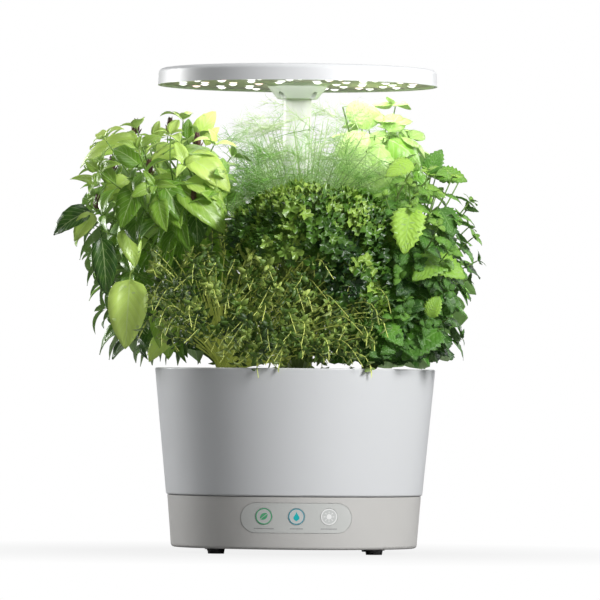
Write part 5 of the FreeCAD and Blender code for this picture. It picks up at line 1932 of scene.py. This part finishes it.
@dataclass
class PanelMarks:
    """The thin inlaid marks of the panel: rings, a leaf, a drop, a sun and plain dashes.

    Points are in millimetres on the front of the tapered base: X across, Z up.
    """

    frame: Frame
    pitch: float = 29.7
    middle: float = 35.4
    ring_radius: float = 7.45
    ring_width: float = 0.95
    dash_height: float = 24.3
    dash_width: float = 0.8
    dash_halves: tuple[float, float, float] = (9.0, 6.0, 7.5)
    key_face: float = 0.5
    plate_face: float = 0.2
    lift: float = 0.06

    LOW_RADIUS, HIGH_RADIUS = 113.8, 117.6
    LOW_Z, HIGH_Z = 5.0, 53.0

    def on_face(self, x: float, z: float, proud: float) -> Vector:
        """The place on the tapered front at a point of the panel.

        Args:
            x: The place across the panel.
            z: The height on the panel.
            proud: How far out from the base it is.

        Returns:
            The place in metres.
        """
        share = (z - self.LOW_Z) / (self.HIGH_Z - self.LOW_Z)
        radius = self.LOW_RADIUS + (self.HIGH_RADIUS - self.LOW_RADIUS) * share + proud
        return self.frame.at(x, -math.sqrt(radius * radius - x * x), z)

    def ribbon(self, shaper: bmesh.types.BMesh, left: list[tuple[float, float]],
               right: list[tuple[float, float]], proud: float, closed: bool = False) -> None:
        """Adds a raised strip between two edges.

        Args:
            shaper: The mesh under construction.
            left: One edge's points.
            right: The other edge's points, as many.
            proud: How far the face below stands out from the base.
            closed: Whether the strip's ends meet.
        """
        rows = []
        for (lx, lz), (rx, rz) in zip(left, right):
            row = [shaper.verts.new(self.on_face(x, z, proud + up))
                   for x, z, up in ((lx, lz, -0.1), (lx, lz, self.lift), (rx, rz, self.lift),
                                    (rx, rz, -0.1))]
            rows.append(row)
        pairs = list(zip(rows, rows[1:]))
        if closed:
            pairs.append((rows[-1], rows[0]))
        for low, high in pairs:
            for k in range(4):
                after = (k + 1) % 4
                shaper.faces.new([low[k], low[after], high[after], high[k]])
        if not closed:
            shaper.faces.new(rows[0])
            shaper.faces.new(list(reversed(rows[-1])))

    def circle(self, x: float, radius: float, steps: int = 56) -> list[tuple[float, float]]:
        """Points round a circle on the panel."""
        return [(x + radius * math.cos(math.tau * k / steps),
                 self.middle + radius * math.sin(math.tau * k / steps)) for k in range(steps)]

    def piece(self, name: str, draw: Callable[[bmesh.types.BMesh], None], finish: MouldedPlastic,
              body: Body, slot: str) -> bpy.types.Object:
        """Makes one piece from the strips that a drawing function adds.

        Args:
            name: The name to give.
            draw: The function that adds the strips.
            finish: The plastic.
            body: The body that it rides on.
            slot: Not used.

        Returns:
            The object.
        """
        shaper = bmesh.new()
        draw(shaper)
        bmesh.ops.recalc_face_normals(shaper, faces=shaper.faces)
        mesh = bpy.data.meshes.new(name)
        shaper.to_mesh(mesh)
        shaper.free()
        mesh.materials.append(finish.material())
        return finished(new_object(name, mesh), body)

    def ring(self, x: float) -> Callable[[bmesh.types.BMesh], None]:
        """A drawing of the ring round one mark.

        Args:
            x: The place across the panel.

        Returns:
            The drawing function.
        """
        def draw(shaper: bmesh.types.BMesh) -> None:
            """Adds the ring."""
            self.ribbon(shaper, self.circle(x, self.ring_radius),
                        self.circle(x, self.ring_radius - self.ring_width), self.key_face, True)
        return draw

    def leaf(self, shaper: bmesh.types.BMesh) -> None:
        """A slanted pointed leaf with a bare midrib.

        Args:
            shaper: The mesh under construction.
        """
        x, z = -self.pitch, self.middle
        slant = math.radians(38)
        for side in (-1.0, 1.0):
            outer, inner = [], []
            for k in range(13):
                share = k / 12
                along = -4.2 + 8.4 * share
                half = 2.5 * math.sin(math.pi * share) ** 0.8
                for edge, across in ((outer, side * (half + 0.32)), (inner, side * 0.28)):
                    edge.append((x + along * math.cos(slant) - across * math.sin(slant),
                                 z + along * math.sin(slant) + across * math.cos(slant)))
            self.ribbon(shaper, outer, inner, self.key_face)

    def drop(self, shaper: bmesh.types.BMesh) -> None:
        """A water drop with its point up.

        Args:
            shaper: The mesh under construction.
        """
        left, right = [], []
        for k in range(17):
            share = k / 16
            height = self.middle + 4.6 - 8.6 * share
            half = 2.9 * math.sin(math.pi * share ** 1.5) ** 0.9 * (0.45 + 0.55 * share)
            half = max(half * 1.18, 0.03)
            left.append((-half, height))
            right.append((half, height))
        self.ribbon(shaper, left, right, self.key_face)

    def sun(self, shaper: bmesh.types.BMesh) -> None:
        """A round disc with eight short rays.

        Args:
            shaper: The mesh under construction.
        """
        x = self.pitch
        self.ribbon(shaper, self.circle(x, 2.4, 40), self.circle(x, 0.05, 40), self.key_face, True)
        for k in range(8):
            turn = math.tau * k / 8
            ahead = Vector((math.cos(turn), math.sin(turn)))
            side = Vector((-ahead.y, ahead.x)) * 0.32
            centre = Vector((x, self.middle))
            ends = [centre + ahead * reach for reach in (3.2, 4.8)]
            self.ribbon(shaper, [tuple(e + side) for e in ends], [tuple(e - side) for e in ends],
                        self.key_face)

    def dashes(self, shaper: bmesh.types.BMesh) -> None:
        """A plain dash under each mark.

        Args:
            shaper: The mesh under construction.
        """
        for column in (-1, 0, 1):
            middle, half = column * self.pitch, self.dash_halves[column + 1]
            edge = [middle + half * (k / 5.0 - 1.0) for k in range(11)]
            self.ribbon(shaper, [(x, self.dash_height + self.dash_width / 2) for x in edge],
                        [(x, self.dash_height - self.dash_width / 2) for x in edge],
                        self.plate_face)

    def build(self) -> None:
        """Makes every mark of the panel."""
        green = MouldedPlastic("mark_green", (0.1, 0.46, 0.22))
        cyan = MouldedPlastic("mark_cyan", (0.01, 0.5, 0.52))
        white = MouldedPlastic("mark_white", (0.93, 0.93, 0.92))
        ink = MouldedPlastic("mark_grey", (0.36, 0.36, 0.36))
        pale = MouldedPlastic("mark_ring_teal", (0.08, 0.34, 0.42))
        self.piece("feed_ring", self.ring(-self.pitch), green, Body.FEED_KEY, "key_plastic")
        self.piece("feed_leaf", self.leaf, green, Body.FEED_KEY, "key_plastic")
        self.piece("water_ring", self.ring(0.0), pale, Body.GARDEN, "lamp_plastic")
        self.piece("water_drop", self.drop, cyan, Body.GARDEN, "lamp_plastic")
        self.piece("light_ring", self.ring(self.pitch), white, Body.LIGHT_KEY, "key_plastic")
        self.piece("light_sun", self.sun, white, Body.LIGHT_KEY, "key_plastic")
        self.piece("panel_dashes", self.dashes, ink, Body.GARDEN, "panel_plastic")


@dataclass
class CurlyLead:
    """The light's lead inside the post: straight from the board, then curled up to the hood."""

    frame: Frame
    entry_depth: float = 56.0
    entry_height: float = 19.6
    coil_low: float = 34.0
    coil_high: float = 427.0
    coil_radius: float = 4.0
    turns: int = 56
    wire_radius: float = 1.3
    finish: MouldedPlastic = MouldedPlastic("curly_lead_sheath", (0.55, 0.55, 0.53))

    FOOT, KEEP = 30.0 * MM, 0.57

    def build(self) -> None:
        """Makes the lead."""
        start = self.frame.at(0, self.entry_depth, self.entry_height)
        corner = self.frame.at(0, 4, self.entry_height)
        path = bent([start, corner, self.frame.at(self.coil_radius, 0, self.coil_low)], 12)
        steps = self.turns * 10
        for number in range(1, steps + 1):
            turn = math.tau * number * self.turns / steps
            height = self.coil_low + (self.coil_high - self.coil_low) * number / steps
            path.append(self.frame.at(self.coil_radius * math.cos(turn),
                                      self.coil_radius * math.sin(turn), height))
        stems = Stems()
        radius = self.wire_radius * MM
        stems.add(path, radius, radius, 0.5)
        tree = stem_tree(self.finish.material())
        piece = tree.grow("curly_light_lead", stems.mesh("curly_light_lead"), Sides=8)
        finished(piece, Body.GARDEN, ("light_lead",))
        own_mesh(piece)


@dataclass
class Studio:
    """The pale floor, the soft lights and the camera at the photograph's angle.

    Each entry of LAMPS is a name, watts, a side in metres, an azimuth and an elevation in degrees.
    """

    frame: Frame
    lens: float = 402.0
    distance: float = 6.213
    camera_height: float = 0.1416
    aim_height: float = 0.2343
    aside: float = 0.0039
    swing: float = -0.13
    roll: float = math.radians(0.5)
    world_light: float = 0.1
    floor_half: float = 6.0
    lamp_reach: float = 2.0
    glow_power: float = 0.3
    glow_size: float = 0.22
    glow_height: float = 432.0

    LAMPS = (
        ("key", 40.0, 0.65, 42.0, 24.0),
        ("left_rim", 30.0, 0.6, -120.0, 14.0),
        ("right_rim", 10.0, 0.9, 128.0, 22.0),
        ("top", 9.0, 1.2, 0.0, 86.0),
    )

    def build(self) -> None:
        """Makes the whole studio."""
        scene = bpy.context.scene
        scene.view_settings.view_transform = "Standard"
        self._camera(scene)
        self._world(scene)
        self._floor()
        self._lamps()

    def _camera(self, scene: bpy.types.Scene) -> None:
        """A long lens that looks level at the garden.

        Args:
            scene: Blender's scene.
        """
        data = bpy.data.cameras.new("camera")
        data.lens = self.lens
        data.sensor_width = 36.0
        data.clip_end = 60.0
        camera = bpy.data.objects.new("camera", data)
        scene.collection.objects.link(camera)
        x = self.frame.axis.x + self.aside
        camera.location = (x + self.swing, -self.distance, self.camera_height)
        ahead = Vector((x, 0.0, self.aim_height)) - camera.location
        turn = ahead.to_track_quat("-Z", "Y")
        camera.rotation_mode = "QUATERNION"
        camera.rotation_quaternion = turn @ Quaternion((0.0, 0.0, 1.0), self.roll)
        scene.camera = camera

    def _world(self, scene: bpy.types.Scene) -> None:
        """White behind the object, and a dimmer even light on it.

        Args:
            scene: Blender's scene.
        """
        world = bpy.data.worlds.new("studio")
        scene.world = world
        world.use_nodes = True
        tree = world.node_tree
        tree.nodes.clear()
        path = tree.nodes.new("ShaderNodeLightPath")
        seen = tree.nodes.new("ShaderNodeMath")
        seen.operation = "MAXIMUM"
        tree.links.new(path.outputs["Is Camera Ray"], seen.inputs[0])
        tree.links.new(path.outputs["Is Transmission Ray"], seen.inputs[1])
        lit = tree.nodes.new("ShaderNodeBackground")
        lit.inputs["Color"].default_value = (0.95, 0.98, 1.0, 1.0)
        lit.inputs["Strength"].default_value = self.world_light
        shown = tree.nodes.new("ShaderNodeBackground")
        shown.inputs["Color"].default_value = (1.0, 1.0, 1.0, 1.0)
        shown.inputs["Strength"].default_value = 1.0
        blend = tree.nodes.new("ShaderNodeMixShader")
        output = tree.nodes.new("ShaderNodeOutputWorld")
        tree.links.new(seen.outputs[0], blend.inputs[0])
        tree.links.new(lit.outputs[0], blend.inputs[1])
        tree.links.new(shown.outputs[0], blend.inputs[2])
        tree.links.new(blend.outputs[0], output.inputs["Surface"])

    def _floor(self) -> None:
        """A wide white floor that shows only the object's shadow."""
        half = self.floor_half
        mesh = bpy.data.meshes.new("floor")
        mesh.from_pydata([(-half, -half, 0), (half, -half, 0), (half, half, 0), (-half, half, 0)],
                         [], [(0, 1, 2, 3)])
        sheet = ShaderSheet("floor_white")
        sheet.set(Base_Color=(0.22, 0.22, 0.22, 1.0), Roughness=0.7)
        path = sheet.add("ShaderNodeLightPath")
        shown = sheet.add("ShaderNodeEmission")
        shown.inputs["Color"].default_value = (1.0, 1.0, 1.0, 1.0)
        shown.inputs["Strength"].default_value = 1.0
        blend = sheet.add("ShaderNodeMixShader")
        away = sheet.add("ShaderNodeVectorMath", operation="LENGTH")
        sheet.link(sheet.coords.outputs["Object"], away.inputs[0])
        fade = sheet.add("ShaderNodeMapRange")
        for title, value in (("From Min", 0.16), ("From Max", 0.5), ("To Min", 0.86), ("To Max", 1.0)):
            fade.inputs[title].default_value = value
        sheet.link(away.outputs["Value"], fade.inputs["Value"])
        share = sheet.math("MULTIPLY", path.outputs["Is Camera Ray"], fade.outputs[0])
        sheet.link(share, blend.inputs[0])
        sheet.link(sheet.shader.outputs[0], blend.inputs[1])
        sheet.link(shown.outputs[0], blend.inputs[2])
        output = next(n for n in sheet.tree.nodes if n.type == "OUTPUT_MATERIAL")
        sheet.link(blend.outputs[0], output.inputs["Surface"])
        mesh.materials.append(sheet.material)
        floor = new_object("floor", mesh)
        floor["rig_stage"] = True

    def _lamp(self, name: str, power: float, size: float, azimuth: float, elevation: float
              ) -> None:
        """A soft square lamp aimed at the garden's middle.

        Args:
            name: The lamp's name.
            power: Its watts.
            size: Its side.
            azimuth: Degrees round from the front, counted towards the right.
            elevation: Degrees above the horizon.
        """
        data = bpy.data.lights.new(name, "AREA")
        data.energy = power
        data.size = size
        lamp = bpy.data.objects.new(name, data)
        bpy.context.scene.collection.objects.link(lamp)
        a, e = math.radians(azimuth), math.radians(elevation)
        way = Vector((math.sin(a) * math.cos(e), -math.cos(a) * math.cos(e), math.sin(e)))
        middle = Vector((self.frame.axis.x, 0.0, 0.24))
        lamp.location = middle + way * self.lamp_reach
        lamp.rotation_euler = (-way).to_track_quat("-Z", "Y").to_euler()

    def _lamps(self) -> None:
        """Key from the right, rims from both sides behind, and a small one under the hood."""
        for setting in self.LAMPS:
            self._lamp(*setting)
        data = bpy.data.lights.new("under_hood", "AREA")
        data.shape = "DISK"
        data.size = self.glow_size
        data.energy = self.glow_power
        glow = bpy.data.objects.new("under_hood", data)
        bpy.context.scene.collection.objects.link(glow)
        glow.location = self.frame.at(0, 0, self.glow_height)
        carrier = self.frame.nodes["hood_shell"].parent
        bpy.context.view_layer.update()
        glow.parent = carrier
        glow.matrix_parent_inverse = carrier.matrix_world.inverted()


def main() -> None:
    """Builds the studio, the finishes, the panel marks, the lead and the six herbs in order."""
    logging.basicConfig(level=logging.INFO, format="%(name)s: %(message)s")
    frame = Frame()
    Studio(frame).build()
    Housings(frame).dress()
    PanelMarks(frame).build()
    CurlyLead(frame).build()
    for herb in (GenoveseBasil, Dill, ThaiBasil, Thyme, CurlyParsley, Mint):
        herb(frame).build()
    remove_patterns()


def remove_patterns() -> None:
    """Deletes the single leaves that the plants were grown from."""
    for piece in list(bpy.context.scene.collection.objects):
        loose = piece.type == "MESH" and piece.parent is None and not piece.get("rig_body")
        if loose and piece.name != "floor":
            bpy.data.objects.remove(piece)


if __name__ == "__main__":
    main()
